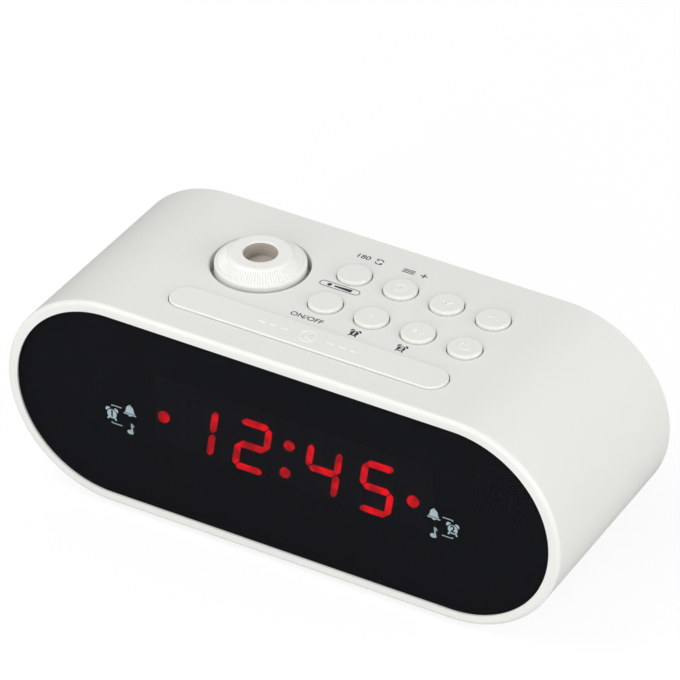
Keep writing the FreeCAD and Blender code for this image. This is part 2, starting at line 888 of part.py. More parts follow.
def make_focus_ring():
    """The dome that is turned by hand: fluted cone, lens hole, outer skirt, and an inner sleeve with three
    helical slots that drive the barrel's pins."""
    top = projector_top + dome_height
    cone_foot_radius = dome_radius - dome_flange_width
    skirt_inner = dome_radius - dome_wall
    lip_top = collar_foot_z - dome_lip_gap
    lip_foot = lip_top - dome_lip_thickness
    under_land = top - dome_land_thickness
    under_cone = dome_slope(skirt_inner) - dome_cone_thickness
    land_mid = (dome_land_radius + dome_shoulder_radius) / 2
    profile = [
        (lens_hole_radius, under_land),
        (lens_hole_radius, top - lens_hole_edge),
        (lens_hole_radius + lens_hole_edge, top),
        (dome_land_radius, top),
        (land_mid, top - dome_shoulder_drop * dome_shoulder_share),
        (dome_shoulder_radius, top - dome_shoulder_drop),
        (cone_foot_radius, projector_top + dome_flange_height),
        (dome_radius, projector_top + dome_flange_height - dome_flange_drop),
        (dome_radius, lip_top),
        (dome_radius + dome_gap + dome_lip_width, lip_top),
        (dome_radius + dome_gap + dome_lip_width, lip_foot),
        (skirt_inner, lip_foot),
        (skirt_inner, under_cone),
        (sleeve_outer, under_cone),
        (sleeve_outer, sleeve_foot_z),
        (sleeve_inner, sleeve_foot_z),
        (sleeve_inner, under_land),
    ]
    body = turned(profile, projector_x, projector_y)
    return body.cut(flutes() + helical_slots()).removeSplitter()


def flutes():
    """V grooves down the dome's cone, one for each finger ridge. They narrow towards the cone's tip."""
    inner = dome_shoulder_radius + flute_brim
    outer = dome_radius - dome_flange_width - flute_brim
    grooves = []
    for place in range(flute_count):
        angle = 2 * pi * place / flute_count
        out = vector(cos(angle), sin(angle), 0)
        side = vector(-sin(angle), cos(angle), 0)
        normal = flute_normal(angle)
        ends = []
        for radius in (inner, outer):
            half = pi * radius / flute_count * flute_share
            share = radius / outer
            middle = vector(projector_x, projector_y, dome_slope(radius)) + out * radius
            brim = middle + normal * (flute_brim * share)
            ends.append((brim - side * half, middle - normal * (flute_depth * share), brim + side * half))
        grooves.append(wedge(*ends))
    return grooves


def wedge(first, last):
    """A solid between two triangles that lie across from each other."""
    faces = [Part.Face(Part.makePolygon([*first, first[0]])), Part.Face(Part.makePolygon([*last, last[0]]))]
    for a, b in ((0, 1), (1, 2), (2, 0)):
        faces.append(Part.Face(Part.makePolygon([first[a], first[b], last[b], last[a], first[a]])))
    return Part.makeSolid(Part.makeShell(faces))


def flute_normal(angle):
    rise = dome_slope(dome_shoulder_radius) - dome_slope(dome_radius - dome_flange_width)
    run = dome_radius - dome_flange_width - dome_shoulder_radius
    tilt = atan2(rise, run)
    return vector(cos(angle) * sin(tilt), sin(angle) * sin(tilt), cos(tilt))


def pin_angles():
    return [360.0 * place / pin_count for place in range(pin_count)]


def helical_slots():
    """Cutters along the helix that each pin follows as the dome turns from stop to stop."""
    lead = focus_travel / focus_turn * 360
    width = 2 * (pin_radius + pin_clearance)
    middle_radius = (sleeve_inner + sleeve_outer) / 2
    spare = degrees((pin_radius + pin_clearance) / middle_radius)
    sweep = 2 * (focus_turn + spare)
    rise = lead * sweep / 360
    slots = []
    for angle in pin_angles():
        helix = Part.makeHelix(lead, rise, middle_radius)
        thick = sleeve_wall / 2 + slightly_past
        start = vector(middle_radius, 0, 0)
        tangent = vector(0, middle_radius * 2 * pi, lead).normalize()
        across = vector(0, -tangent.z, tangent.y)
        out = vector(1, 0, 0)
        near, far = start - out * thick, start + out * thick
        side = across * (width / 2)
        corners = [near - side, far - side, far + side, near + side]
        section = Part.makePolygon(corners + corners[:1])
        slot = Part.Wire(helix.Edges).makePipeShell([section], True, True)
        slot.rotate(vector(0, 0, 0), UP, angle - sweep / 2)
        slot.translate(vector(projector_x, projector_y, pin_z - rise / 2))
        slots.append(slot)
    return slots


def make_lens_barrel():
    profile = [
        (barrel_radius - barrel_wall, barrel_foot),
        (barrel_radius, barrel_foot),
        (barrel_radius, barrel_top),
        (lens_radius, barrel_top),
        (lens_radius, barrel_top - lens_seat_depth),
        (barrel_radius - barrel_wall, barrel_top - lens_seat_depth),
    ]
    body = turned(profile, projector_x, projector_y)
    return body.cut([pin_rod(angle, 0.0, barrel_radius + past) for angle in pin_angles()])


def pin_rod(angle, inner, outer):
    out = vector(cos(radians(angle)), sin(radians(angle)), 0)
    start = vector(projector_x, projector_y, pin_z) + out * inner
    return rod(pin_radius, start, outer - inner, out)


def make_focus_pins():
    inner = barrel_radius - barrel_wall + pin_setback
    return group([pin_rod(angle, inner, sleeve_outer - pin_setback) for angle in pin_angles()])


def make_lens(radius, edge, bulge_up, bulge_down, foot):
    """A lens with spherical faces, its rim resting at foot."""
    x, y = projector_x, projector_y
    low, high = foot + bulge_down, foot + bulge_down + edge
    edges = [
        Part.LineSegment(vector(x, y, low - bulge_down), vector(x, y, high + bulge_up)).toShape(),
        cap_edge(radius, high, bulge_up),
        Part.LineSegment(vector(x + radius, y, high), vector(x + radius, y, low)).toShape(),
        cap_edge(radius, low, -bulge_down),
    ]
    face = Part.Face(Part.Wire(Part.__sortEdges__(edges)))
    return face.revolve(vector(x, y, 0), UP, 360)


def cap_edge(radius, rim_z, bulge):
    """The arc from the axis to the rim of a lens face, or a straight line where the face is flat."""
    x, y = projector_x, projector_y
    if bulge == 0:
        return Part.LineSegment(vector(x, y, rim_z), vector(x + radius, y, rim_z)).toShape()
    sphere = (radius**2 + bulge**2) / (2 * bulge)
    half_radius = radius / 2
    half_z = rim_z + bulge - sphere + (1 if bulge > 0 else -1) * sqrt(sphere**2 - half_radius**2)
    ends = vector(x, y, rim_z + bulge), vector(x + radius, y, rim_z)
    return Part.Arc(ends[0], vector(x + half_radius, y, half_z), ends[1]).toShape()


def make_projection_lens():
    seat = barrel_top - lens_seat_depth
    return make_lens(lens_radius - lens_clearance, lens_edge, lens_bulge, lens_bulge, seat)


def make_condenser_lens():
    bulge = condenser_thickness - condenser_edge - condenser_gap
    return make_lens(tube_inner - seat_clearance, condenser_edge, bulge, 0, spacer_top)


def make_projector_tube():
    """The fixed tube: a flange with three ears under the top, keyways for the pins, and a shoulder between
    the slide and the condenser."""
    tube_top = projector_top - tube_top_drop
    flange_foot = tube_flange_top - tube_flange_thickness
    profile = [
        (tube_inner, lamp_board_top),
        (tube_outer, lamp_board_top),
        (tube_outer, flange_foot),
        (tube_flange_radius, flange_foot),
        (tube_flange_radius, tube_flange_top),
        (tube_outer, tube_flange_top),
        (tube_outer, tube_top),
        (tube_inner, tube_top),
        (tube_inner, shoulder_top),
        (tube_inner - shoulder_width, shoulder_top),
        (tube_inner - shoulder_width, shoulder_foot),
        (tube_inner, shoulder_foot),
    ]
    body = turned(profile, projector_x, projector_y)
    hole = small_shank_radius + screw_clearance
    ears = [rod(ear_radius, vector(x, y, flange_foot), tube_flange_thickness, UP) for x, y in ear_places()]
    body = body.fuse(ears)
    cuts = [rod(hole, vector(x, y, flange_foot - past), tube_flange_thickness + 2 * past, UP)
            for x, y in ear_places()]
    half = pin_radius + pin_clearance
    for angle in pin_angles():
        key = box(tube_inner - slightly_past, tube_outer + slightly_past, -half, half,
                  pin_z - focus_travel - half, tube_top + past)
        key.rotate(vector(0, 0, 0), UP, angle)
        key.translate(vector(projector_x, projector_y, 0))
        cuts.append(key)
    return body.cut(cuts).removeSplitter()


def make_image_slide():
    x, y = projector_x, projector_y
    return box(x - slide_width / 2, x + slide_width / 2, y - slide_height / 2, y + slide_height / 2,
               shoulder_top, slide_top)


def make_lamp_spacer():
    outer = tube_inner - seat_clearance
    return ring(outer, outer - spacer_wall, projector_x, projector_y, lamp_board_top, spacer_top)


def make_projector_lamp():
    """A flat-topped lamp whose shoulder is cut off at an angle."""
    z0 = lamp_board_top
    top = z0 + lamp_length
    profile = [
        (0, z0),
        (lamp_radius, z0),
        (lamp_radius, top - lamp_shoulder),
        (lamp_radius - lamp_shoulder, top),
        (0, top),
    ]
    return turned(profile, projector_x, projector_y)


def make_lamp_board():
    foot = vector(projector_x, projector_y, lamp_board_top - board_thickness)
    return rod(tube_outer + lamp_board_rim, foot, board_thickness, UP)


# Which strokes make each figure: top, upper right, lower right, bottom, lower left, upper left, middle
FIGURES = {"1": "bc", "2": "abged", "4": "fgbc", "5": "afgcd"}


def slanted(x, z):
    """A point of the digits' plane, leaned over by the slant."""
    return x + (z - display_z) * tan(radians(digit_slant)), z


def stroke_prism(x0, z0, x1, z1):
    """One stroke: a six-sided bar between two points, with pointed ends."""
    h = stroke / 2
    upright = abs(z1 - z0) > abs(x1 - x0)
    if upright:
        near, far = [(x0 - h, z0 + h), (x0 + h, z0 + h)], [(x1 + h, z1 - h), (x1 - h, z1 - h)]
    else:
        near, far = [(x0 + h, z0 - h), (x0 + h, z0 + h)], [(x1 - h, z1 + h), (x1 - h, z1 - h)]
    points = [near[0], (x0, z0), near[1], far[0], (x1, z1), far[1]]
    corners = [vector(slanted(x, z)[0], module_front_y, z) for x, z in points]
    return Part.Face(Part.makePolygon(corners + corners[:1])).extrude(vector(0, -segment_thickness, 0))


def digit_strokes(x):
    """The seven strokes of a digit whose middle is at x, by letter."""
    right, left = x + digit_width / 2 - stroke / 2, x - digit_width / 2 + stroke / 2
    high, low = display_z + digit_height / 2 - stroke / 2, display_z - digit_height / 2 + stroke / 2
    gap = stroke_gap
    middle = display_z
    return {
        "a": stroke_prism(left + gap, high, right - gap, high),
        "b": stroke_prism(right, middle + gap, right, high - gap),
        "c": stroke_prism(right, low + gap, right, middle - gap),
        "d": stroke_prism(left + gap, low, right - gap, low),
        "e": stroke_prism(left, low + gap, left, middle - gap),
        "f": stroke_prism(left, middle + gap, left, high - gap),
        "g": stroke_prism(left + gap, middle, right - gap, middle),
    }


def digit_places():
    inner = digit_colon_pitch / 2
    outer = inner + digit_pitch
    return [display_x - outer, display_x - inner, display_x + inner, display_x + outer]


def make_strokes(lit):
    strokes = []
    for figure, x in zip(shown_time, digit_places()):
        for letter, prism in digit_strokes(x).items():
            if (letter in FIGURES[figure]) == lit:
                strokes.append(prism)
    return group(strokes)


def make_colon():
    dots = []
    for rise in (colon_rise, -colon_drop):
        x, z = slanted(display_x, display_z + rise)
        dots.append(rod(colon_radius, vector(x, module_front_y, z), segment_thickness, FORWARD))
    return group(dots)


def make_alarm_dots():
    centres = [vector(display_x + side * dot_spread / 2, module_front_y, display_z) for side in (-1, 1)]
    return group([rod(dot_radius, centre, segment_thickness, FORWARD) for centre in centres])


def make_display_module():
    half = module_length() / 2
    return box(display_x - half, display_x + half, module_front_y, display_board_front_y,
               display_z - module_height / 2, display_z + module_height / 2)


def make_display_board():
    half = module_length() / 2 + display_board_margin
    foot = floor_z(display_board_front_y) + board_floor_gap
    return box(display_x - half, display_x + half, display_board_front_y, display_board_back_y,
               foot, display_z + module_height / 2 + display_board_margin)


def make_main_board():
    x0, y0 = main_board_corner()
    board = box(x0, x0 + main_board_length, y0, y0 + main_board_width,
                main_board_z, main_board_z + board_thickness)
    hole = small_shank_radius + screw_clearance
    return board.cut([rod(hole, vector(x, y, main_board_z - past), board_thickness + 2 * past, UP)
                      for x, y in main_boss_places()])


def on_board(part):
    """The middle of a part on the main board, and the height of the board's top."""
    x0, y0 = main_board_corner()
    along, across = part["at"]
    return x0 + main_board_length * along, y0 + main_board_width * across, main_board_z + board_thickness


def make_board_chips():
    """The clock and radio chips, the socket of the ribbon lead and the tuner's coil."""
    chips = []
    for part in (clock_chip, radio_chip, plug_socket, tuner_coil):
        x, y, z = on_board(part)
        half_x, half_y = part["long"] / 2, part["wide"] / 2
        chips.append(box(x - half_x, x + half_x, y - half_y, y + half_y, z, z + part["high"]))
    return group(chips)


def make_capacitors():
    cans = []
    for part in (large_can, middle_can, small_can):
        x, y, z = on_board(part)
        cans.append(rod(part["radius"], vector(x, y, z), part["high"], UP))
    return group(cans)


def make_transformer_core():
    x, y, z0 = transformer_x, transformer_y, strap_foot_z
    core = box(x - core_length_x / 2, x + core_length_x / 2, y - core_length_y / 2, y + core_length_y / 2,
               z0, z0 + core_height)
    low = z0 + (core_height - coil_height) / 2
    window = box(x - core_length_x, x + core_length_x, y - coil_length_y / 2, y + coil_length_y / 2,
                 low, low + coil_height)
    return core.cut(window)


def make_transformer_coil():
    x, y = transformer_x, transformer_y
    z0 = strap_foot_z + (core_height - coil_height) / 2
    coil = box(x - coil_length_x / 2, x + coil_length_x / 2, y - coil_length_y / 2 + coil_gap,
               y + coil_length_y / 2 - coil_gap, z0 + coil_gap, z0 + coil_height - coil_gap)
    corners = edges_at(coil, lambda p: abs(abs(p.x - x) - coil_length_x / 2) < 0.01 and abs(p.y - y) > 1)
    return coil.makeFillet(coil_rounding, corners)


def make_transformer_strap():
    x, y, z0 = transformer_x, transformer_y, strap_foot_z
    top = z0 + core_height
    half_y = core_length_y / 2
    t = strap_thickness
    outer = box(x - strap_width / 2, x + strap_width / 2, y - half_y - t, y + half_y + t, z0, top + t)
    inner = box(x - strap_width, x + strap_width, y - half_y, y + half_y, z0 - past, top)
    ear_reach = half_y + t + strap_ear
    ears = box(x - strap_width / 2, x + strap_width / 2, y - ear_reach, y + ear_reach, z0, z0 + t)
    strap = outer.cut(inner).fuse(ears.cut(inner))
    hole = small_shank_radius + screw_clearance
    foot = z0 - past
    holes = [rod(hole, vector(x, y, foot), t + 2 * past, UP) for x, y in strap_screw_places()]
    return strap.cut(holes).removeSplitter()


def make_speaker_frame():
    """The basket: a flat rim against the cover and a cone of sheet down to the magnet."""
    rim_front = cover_front_y - speaker_rim_thickness
    inner = speaker_radius - speaker_rim
    seat = cover_front_y - speaker_depth + magnet_height
    hole = magnet_radius / 2
    return turned_back([
        (inner, cover_front_y),
        (speaker_radius, cover_front_y),
        (speaker_radius, rim_front),
        (inner, rim_front),
        (magnet_radius, seat),
        (hole, seat),
        (hole, seat + basket_sheet),
        (magnet_radius - basket_sheet / 2, seat + basket_sheet),
        (inner - basket_sheet, rim_front + basket_sheet / 3),
    ], speaker_x, axis_z)


def make_speaker_cone():
    rim = cover_front_y - speaker_rim_thickness + cone_sheet / 2
    rim_radius = speaker_radius - speaker_rim - basket_sheet - cone_roll / 2
    foot = cover_front_y - speaker_depth + magnet_height + basket_sheet + cone_roll
    return turned_back([
        (0, foot + cone_cap_rise),
        (cone_cap_radius, foot),
        (rim_radius, rim),
        (rim_radius, rim + cone_sheet),
        (cone_cap_radius, foot + cone_sheet),
        (0, foot + cone_cap_rise + cone_sheet),
    ], speaker_x, axis_z)


def make_speaker_magnet():
    return rod(magnet_radius, vector(speaker_x, cover_front_y - speaker_depth, axis_z), magnet_height, BACK)


def build():
    """Every piece by its name."""
    pieces = {
        "main_shell": make_main_shell(),
        "front_window": make_front_window(),
        "window_gasket": make_window_gasket(),
        "rear_cover": make_rear_cover(),
        "rear_screws": make_rear_screws(),
        "inner_screws": make_small_screws(),
        "rubber_feet": make_rubber_feet(),
        "cord_bush": make_bush(inlet_bore_radius, bush_wall, inlet_x),
        "aerial_grommet": make_bush(outlet_bore_radius, grommet_wall, outlet_x),
        "cell_holder": make_cell_holder(),
        "cell_contacts": make_cell_contacts(),
        "cell_tray": make_cell_tray(),
        "coin_cell": make_coin_cell(),
        "snooze_bar": make_snooze_bar(),
        "plunger_snooze": make_plunger(snooze_x, snooze_y),
        "key_board": make_key_board(),
        "key_switches": group([make_switch(x, y) for x, y in switch_places()]),
        "focus_ring": make_focus_ring(),
        "lens_barrel": make_lens_barrel(),
        "focus_pins": make_focus_pins(),
        "projection_lens": make_projection_lens(),
        "projector_tube": make_projector_tube(),
        "image_slide": make_image_slide(),
        "condenser_lens": make_condenser_lens(),
        "lamp_spacer": make_lamp_spacer(),
        "projector_lamp": make_projector_lamp(),
        "lamp_board": make_lamp_board(),
        "strokes_lit": make_strokes(True),
        "strokes_dark": make_strokes(False),
        "colon_dots": make_colon(),
        "alarm_dots": make_alarm_dots(),
        "display_module": make_display_module(),
        "display_board": make_display_board(),
        "main_board": make_main_board(),
        "board_chips": make_board_chips(),
        "capacitors": make_capacitors(),
        "transformer_core": make_transformer_core(),
        "transformer_coil": make_transformer_coil(),
        "transformer_strap": make_transformer_strap(),
        "speaker_frame": make_speaker_frame(),
        "speaker_cone": make_speaker_cone(),
        "speaker_magnet": make_speaker_magnet(),
    }
    for name, x, y in button_places():
        pieces["button_" + name] = make_button(x, y)
        pieces["plunger_" + name] = make_plunger(x, y)
    return pieces


os.makedirs(OUT, exist_ok=True)
for node, shape in build().items():
    shape.exportStep(os.path.join(OUT, node + ".step"))
    solids = shape.Solids
    print(node, len(solids), "solids", round(sum(s.Volume for s in solids), 2), "mm3", shape.isValid())
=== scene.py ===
"""Dresses the projection alarm clock: finishes, printed marks, glowing figures, camera and studio.

All sizes are in metres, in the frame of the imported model: X to the right, Y to the back, Z up.
"""
import json
import logging
import math
from dataclasses import dataclass, field
from enum import Enum
from typing import Callable, Iterable, Sequence

import bpy
from mathutils import Matrix, Vector

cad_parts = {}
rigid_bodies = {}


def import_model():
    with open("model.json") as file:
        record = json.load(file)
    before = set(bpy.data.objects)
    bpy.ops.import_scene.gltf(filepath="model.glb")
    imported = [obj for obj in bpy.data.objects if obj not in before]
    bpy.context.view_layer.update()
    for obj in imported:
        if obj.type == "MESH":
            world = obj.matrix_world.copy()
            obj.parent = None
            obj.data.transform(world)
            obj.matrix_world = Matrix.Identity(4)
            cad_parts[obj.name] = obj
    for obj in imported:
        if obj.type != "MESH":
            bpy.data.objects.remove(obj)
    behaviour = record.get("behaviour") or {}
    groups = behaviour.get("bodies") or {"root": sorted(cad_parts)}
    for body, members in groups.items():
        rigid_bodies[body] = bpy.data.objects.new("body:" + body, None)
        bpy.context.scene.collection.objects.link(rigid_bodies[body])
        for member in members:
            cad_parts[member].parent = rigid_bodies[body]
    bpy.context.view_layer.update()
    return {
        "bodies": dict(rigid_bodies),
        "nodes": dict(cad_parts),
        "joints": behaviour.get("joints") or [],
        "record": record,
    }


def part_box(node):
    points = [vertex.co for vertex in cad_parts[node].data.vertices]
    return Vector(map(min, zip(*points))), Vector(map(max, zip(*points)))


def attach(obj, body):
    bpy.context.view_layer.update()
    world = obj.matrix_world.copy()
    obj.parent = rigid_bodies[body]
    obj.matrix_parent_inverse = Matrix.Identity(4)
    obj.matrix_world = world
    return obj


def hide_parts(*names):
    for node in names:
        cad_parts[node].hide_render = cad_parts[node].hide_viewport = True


LOG = logging.getLogger("clock")
MM = 0.001
NOISE_MEAN = 0.5

Triple = tuple[float, float, float]
Colour = Triple
Point = tuple[float, float]
Points = tuple[Point, ...]
Piece = bpy.types.Object
Pieces = list[Piece]


def linear(*screen: int) -> Colour:
    """The linear colour of a screen colour given as three values from 0 to 255."""
    shares = (value / 255 for value in screen)
    return tuple(part / 12.92 if part <= 0.04045 else ((part + 0.055) / 1.055) ** 2.4 for part in shares)


def shade(colour: Colour, share: float) -> Colour:
    """A colour with each of its parts times a share."""
    return tuple(part * share for part in colour)


def grey(level: float) -> Colour:
    """A grey of one level."""
    return level, level, level


class Wire:
    """One output of a shader node, with the usual arithmetic on values."""

    def __init__(self, graph: "Graph", socket: bpy.types.NodeSocket) -> None:
        """Keeps the socket and the graph that its Math nodes go to."""
        self.graph = graph
        self.socket = socket

    def _maths(self, operation: str, first: object, second: object) -> "Wire":
        """Adds one Math node for two values."""
        return self.graph.node("ShaderNodeMath", {"operation": operation}, {0: first, 1: second})

    def __add__(self, other: object) -> "Wire":
        """The sum of the two."""
        return self._maths("ADD", self, other)

    __radd__ = __add__

    def __sub__(self, other: object) -> "Wire":
        """This value less the other."""
        return self._maths("SUBTRACT", self, other)

    def __rsub__(self, other: object) -> "Wire":
        """The other less this value."""
        return self._maths("SUBTRACT", other, self)

    def __mul__(self, other: object) -> "Wire":
        """The product of the two."""
        return self._maths("MULTIPLY", self, other)

    __rmul__ = __mul__

    def over(self, level: float) -> "Wire":
        """One where the value is over the level, and nought elsewhere."""
        return self._maths("GREATER_THAN", self, level)

    def clamped(self) -> "Wire":
        """The value held between nought and one."""
        return self.graph.node("ShaderNodeClamp", {}, {"Value": self})


class Graph:
    """A material's node tree, built from code."""

    def __init__(self, name: str) -> None:
        """Makes an empty material.

        Args:
            name: the material's name.
        """
        self.material = bpy.data.materials.new(name)
        self.material.use_nodes = True
        self.tree = self.material.node_tree
        self.tree.nodes.clear()

    def node(self, kind: str, settings: dict, inputs: dict, output: object = 0) -> Wire:
        """Adds a node, sets it and links its inputs.

        Args:
            kind: the node's type.
            settings: attributes to set first; "stops" fills a colour ramp.
            inputs: values or wires by the socket's name or number.
            output: the output that is returned.

        Returns:
            The chosen output.
        """
        made = self.tree.nodes.new(kind)
        for key, value in settings.items():
            if key == "stops":
                self._fill_ramp(made, value)
            else:
                setattr(made, key, value)
        for key, value in inputs.items():
            if isinstance(value, Wire):
                self.tree.links.new(value.socket, made.inputs[key])
            elif isinstance(value, tuple) and len(value) == 3 and made.inputs[key].type == "RGBA":
                made.inputs[key].default_value = (*value, 1.0)
            else:
                made.inputs[key].default_value = value
        return Wire(self, made.outputs[output])

    @staticmethod
    def _fill_ramp(made: bpy.types.Node, stops: Points) -> None:
        """Sets a ramp's two stops to grey levels.

        Args:
            made: the ramp's node.
            stops: places and levels, in order.
        """
        for element, (place, level) in zip(made.color_ramp.elements, stops):
            element.position = place
            element.color = (*grey(level), 1.0)

    def ramp(self, value: Wire, stops: Points) -> Wire:
        """A value led through a ramp of grey levels."""
        return self.node("ShaderNodeValToRGB", {"stops": stops}, {"Fac": value})

    def place(self, scale: Sequence[float] = (1.0, 1.0, 1.0)) -> Wire:
        """Object coordinates, scaled along each axis."""
        spot = self.node("ShaderNodeTexCoord", {}, {}, "Object")
        return self.node("ShaderNodeMapping", {}, {"Vector": spot, "Scale": tuple(scale)})

    def noise(self, scale: float, detail: float = 2.0, roughness: float = 0.5,
              where: Wire | None = None) -> Wire:
        """A noise value about NOISE_MEAN.

        Args:
            scale: cells to the metre.
            detail: octaves.
            roughness: share of the finer octaves.
            where: the coordinates, or none for plain Object coordinates.

        Returns:
            The noise value.
        """
        inputs = {"Vector": where or self.place(), "Scale": scale, "Detail": detail, "Roughness": roughness}
        return self.node("ShaderNodeTexNoise", {}, inputs)

    def mix(self, share: object, first: object, second: object) -> Wire:
        """A colour between two, with so large a share of the second."""
        return self.node("ShaderNodeMix", {"data_type": "RGBA"}, {0: share, 6: first, 7: second}, 2)

    def bump(self, height: Wire, distance: float) -> Wire:
        """A normal raised by a height of so many metres for a value of one."""
        return self.node("ShaderNodeBump", {}, {"Height": height, "Distance": distance, "Strength": 1.0})

    def finish(self, inputs: dict) -> bpy.types.Material:
        """Adds the shader with its sockets and the output, and gives the finished material."""
        self.node_output(self.node("ShaderNodeBsdfPrincipled", {}, inputs))
        return self.material

    def node_output(self, shader: Wire) -> None:
        """Links a shader to the material's surface."""
        out = self.tree.nodes.new("ShaderNodeOutputMaterial")
        self.tree.links.new(shader.socket, out.inputs["Surface"])


@dataclass(frozen=True)
class MouldedPlastic:
    """Plastic from a spark-eroded mould: an even fine grain and a faint drift of tone."""

    colour: Colour
    roughness: float = 0.42
    grain: float = 0.000012
    grain_scale: float = 2600.0
    drift: float = 0.025
    drift_scale: float = 24.0
    specular: float = 0.45
    wear_fineness: float = 9.0
    wear_share: float = 0.12

    def material(self, name: str) -> bpy.types.Material:
        """Builds the finish under a name."""
        graph = Graph(name)
        cloud = graph.noise(self.drift_scale, 3.0)
        grain = graph.noise(self.grain_scale, 2.0, 0.6)
        wear = graph.noise(self.drift_scale * self.wear_fineness, 4.0, 0.65)
        return graph.finish({
            "Base Color": graph.mix(cloud, shade(self.colour, 1 - 2 * self.drift), self.colour),
            "Roughness": self.roughness + (wear - NOISE_MEAN) * self.wear_share,
            "Specular IOR Level": self.specular,
            "Normal": graph.bump(grain, self.grain),
        })


@dataclass(frozen=True)
class LitDiffuser:
    """A moulded diffuser over a lamp, a little uneven where the lamp sits."""

    glow: Colour
    strength: float
    body: Colour = linear(140, 8, 16)
    dim: float = 0.5
    body_shade: float = 0.7
    roughness: float = 0.45
    patch_scale: float = 260.0
    patches: Points = ((0.38, 0.0), (0.62, 1.0))

    def material(self, name: str) -> bpy.types.Material:
        """Builds the finish under a name."""
        graph = Graph(name)
        uneven = graph.ramp(graph.noise(self.patch_scale, 1.0), self.patches)
        return graph.finish({
            "Base Color": graph.mix(uneven, shade(self.body, self.body_shade), self.body),
            "Roughness": self.roughness,
            "Emission Color": graph.mix(uneven, shade(self.glow, self.dim), self.glow),
            "Emission Strength": self.strength,
        })


@dataclass(frozen=True)
class BrushedMetal:
    """Metal drawn or turned in one direction, or cast with an even grain."""

    colour: Colour
    roughness: float = 0.34
    stretch: Triple = (1.0, 14.0, 14.0)
    metallic: float = 1.0
    line_scale: float = 900.0
    line_shade: float = 0.82
    line_share: float = 0.2
    groove: float = 0.000008

    def material(self, name: str) -> bpy.types.Material:
        """Builds the finish under a name."""
        graph = Graph(name)
        lines = graph.noise(self.line_scale, 3.0, 0.6, graph.place(self.stretch))
        return graph.finish({
            "Base Color": graph.mix(lines, shade(self.colour, self.line_shade), self.colour),
            "Metallic": self.metallic,
            "Roughness": self.roughness + (lines - NOISE_MEAN) * self.line_share,
            "Normal": graph.bump(lines, self.groove),
        })


@dataclass(frozen=True)
class SoftRubber:
    """Rubber with a matt skin and a little dust."""

    colour: Colour = linear(52, 52, 54)
    dust: Colour = linear(96, 95, 92)
    roughness: float = 0.78
    dust_scale: float = 300.0
    dust_patches: Points = ((0.45, 0.0), (0.8, 0.5))
    skin: float = 0.00002
    skin_scale: float = 3800.0
    skin_share: float = 0.1

    def material(self, name: str) -> bpy.types.Material:
        """Builds the finish under a name."""
        graph = Graph(name)
        patches = graph.ramp(graph.noise(self.dust_scale, 4.0), self.dust_patches)
        skin = graph.noise(self.skin_scale, 2.0)
        return graph.finish({
            "Base Color": graph.mix(patches, self.colour, self.dust),
            "Roughness": self.roughness + (skin - NOISE_MEAN) * self.skin_share,
            "Normal": graph.bump(skin, self.skin),
        })


@dataclass(frozen=True)
class ClearMoulding:
    """A lens, a slide or a window, clear or smoked, with haze and smears in its polish."""

    colour: Colour
    alpha: float
    roughness: float = 0.03
    haze: Point = (70.0, 2.0)
    haze_shade: float = 0.94
    smears: Triple = (70.0, 2.0, 0.5)
    smear_share: float = 0.02

    def material(self, name: str) -> bpy.types.Material:
        """Builds the finish under a name."""
        graph = Graph(name)
        haze, smears = graph.noise(*self.haze), graph.noise(*self.smears)
        return graph.finish({
            "Base Color": graph.mix(haze, shade(self.colour, self.haze_shade), self.colour),
            "Roughness": self.roughness + smears * self.smear_share,
            "Alpha": self.alpha,
        })


@dataclass(frozen=True)
class CircuitBoard:
    """Green lacquer over tracks that run along and across the board."""

    lacquer: Colour = linear(24, 92, 44)
    track: Colour = linear(58, 132, 66)
    roughness: float = 0.32
    track_height: float = 0.00003
    track_level: float = 0.42
    maze_scale: float = 260.0
    maze_stretch: Triple = (1.0, 1.6, 1.0)

    def material(self, name: str) -> bpy.types.Material:
        """Builds the finish under a name."""
        graph = Graph(name)
        inputs = {"Vector": graph.place(self.maze_stretch), "Scale": self.maze_scale}
        maze = graph.node("ShaderNodeTexVoronoi", {"distance": "MANHATTAN"}, inputs, "Distance")
        track = maze.over(self.track_level)
        return graph.finish({
            "Base Color": graph.mix(track, self.track, self.lacquer),
            "Roughness": self.roughness,
            "Normal": graph.bump(track, self.track_height),
        })


@dataclass(frozen=True)
class TapedWinding:
    """Copper winding under layers of tape, with a ridge at each turn."""

    colour: Colour = linear(214, 178, 74)
    roughness: float = 0.4
    turn_scale: float = 190.0
    turn_shade: float = 0.8
    ridge: float = 0.0001

    def material(self, name: str) -> bpy.types.Material:
        """Builds the finish under a name."""
        graph = Graph(name)
        inputs = {"Vector": graph.place(), "Scale": self.turn_scale}
        bands = graph.node("ShaderNodeTexWave", {"bands_direction": "X"}, inputs, "Fac")
        return graph.finish({
            "Base Color": graph.mix(bands, shade(self.colour, self.turn_shade), self.colour),
            "Roughness": self.roughness,
            "Normal": graph.bump(bands, self.ridge),
        })


@dataclass(frozen=True)
class PrintInk:
    """Pad-printed ink, slightly thin at places."""

    colour: Colour
    ground: Colour
    roughness: float = 0.5
    specular: float = 0.3
    thin_scale: float = 1800.0
    thin_patches: Points = ((0.55, 0.0), (0.9, 0.3))

    def material(self, name: str) -> bpy.types.Material:
        """Builds the finish under a name."""
        graph = Graph(name)
        thin = graph.ramp(graph.noise(self.thin_scale, 3.0), self.thin_patches)
        return graph.finish({
            "Base Color": graph.mix(thin, self.colour, self.ground),
            "Roughness": self.roughness,
            "Specular IOR Level": self.specular,
        })


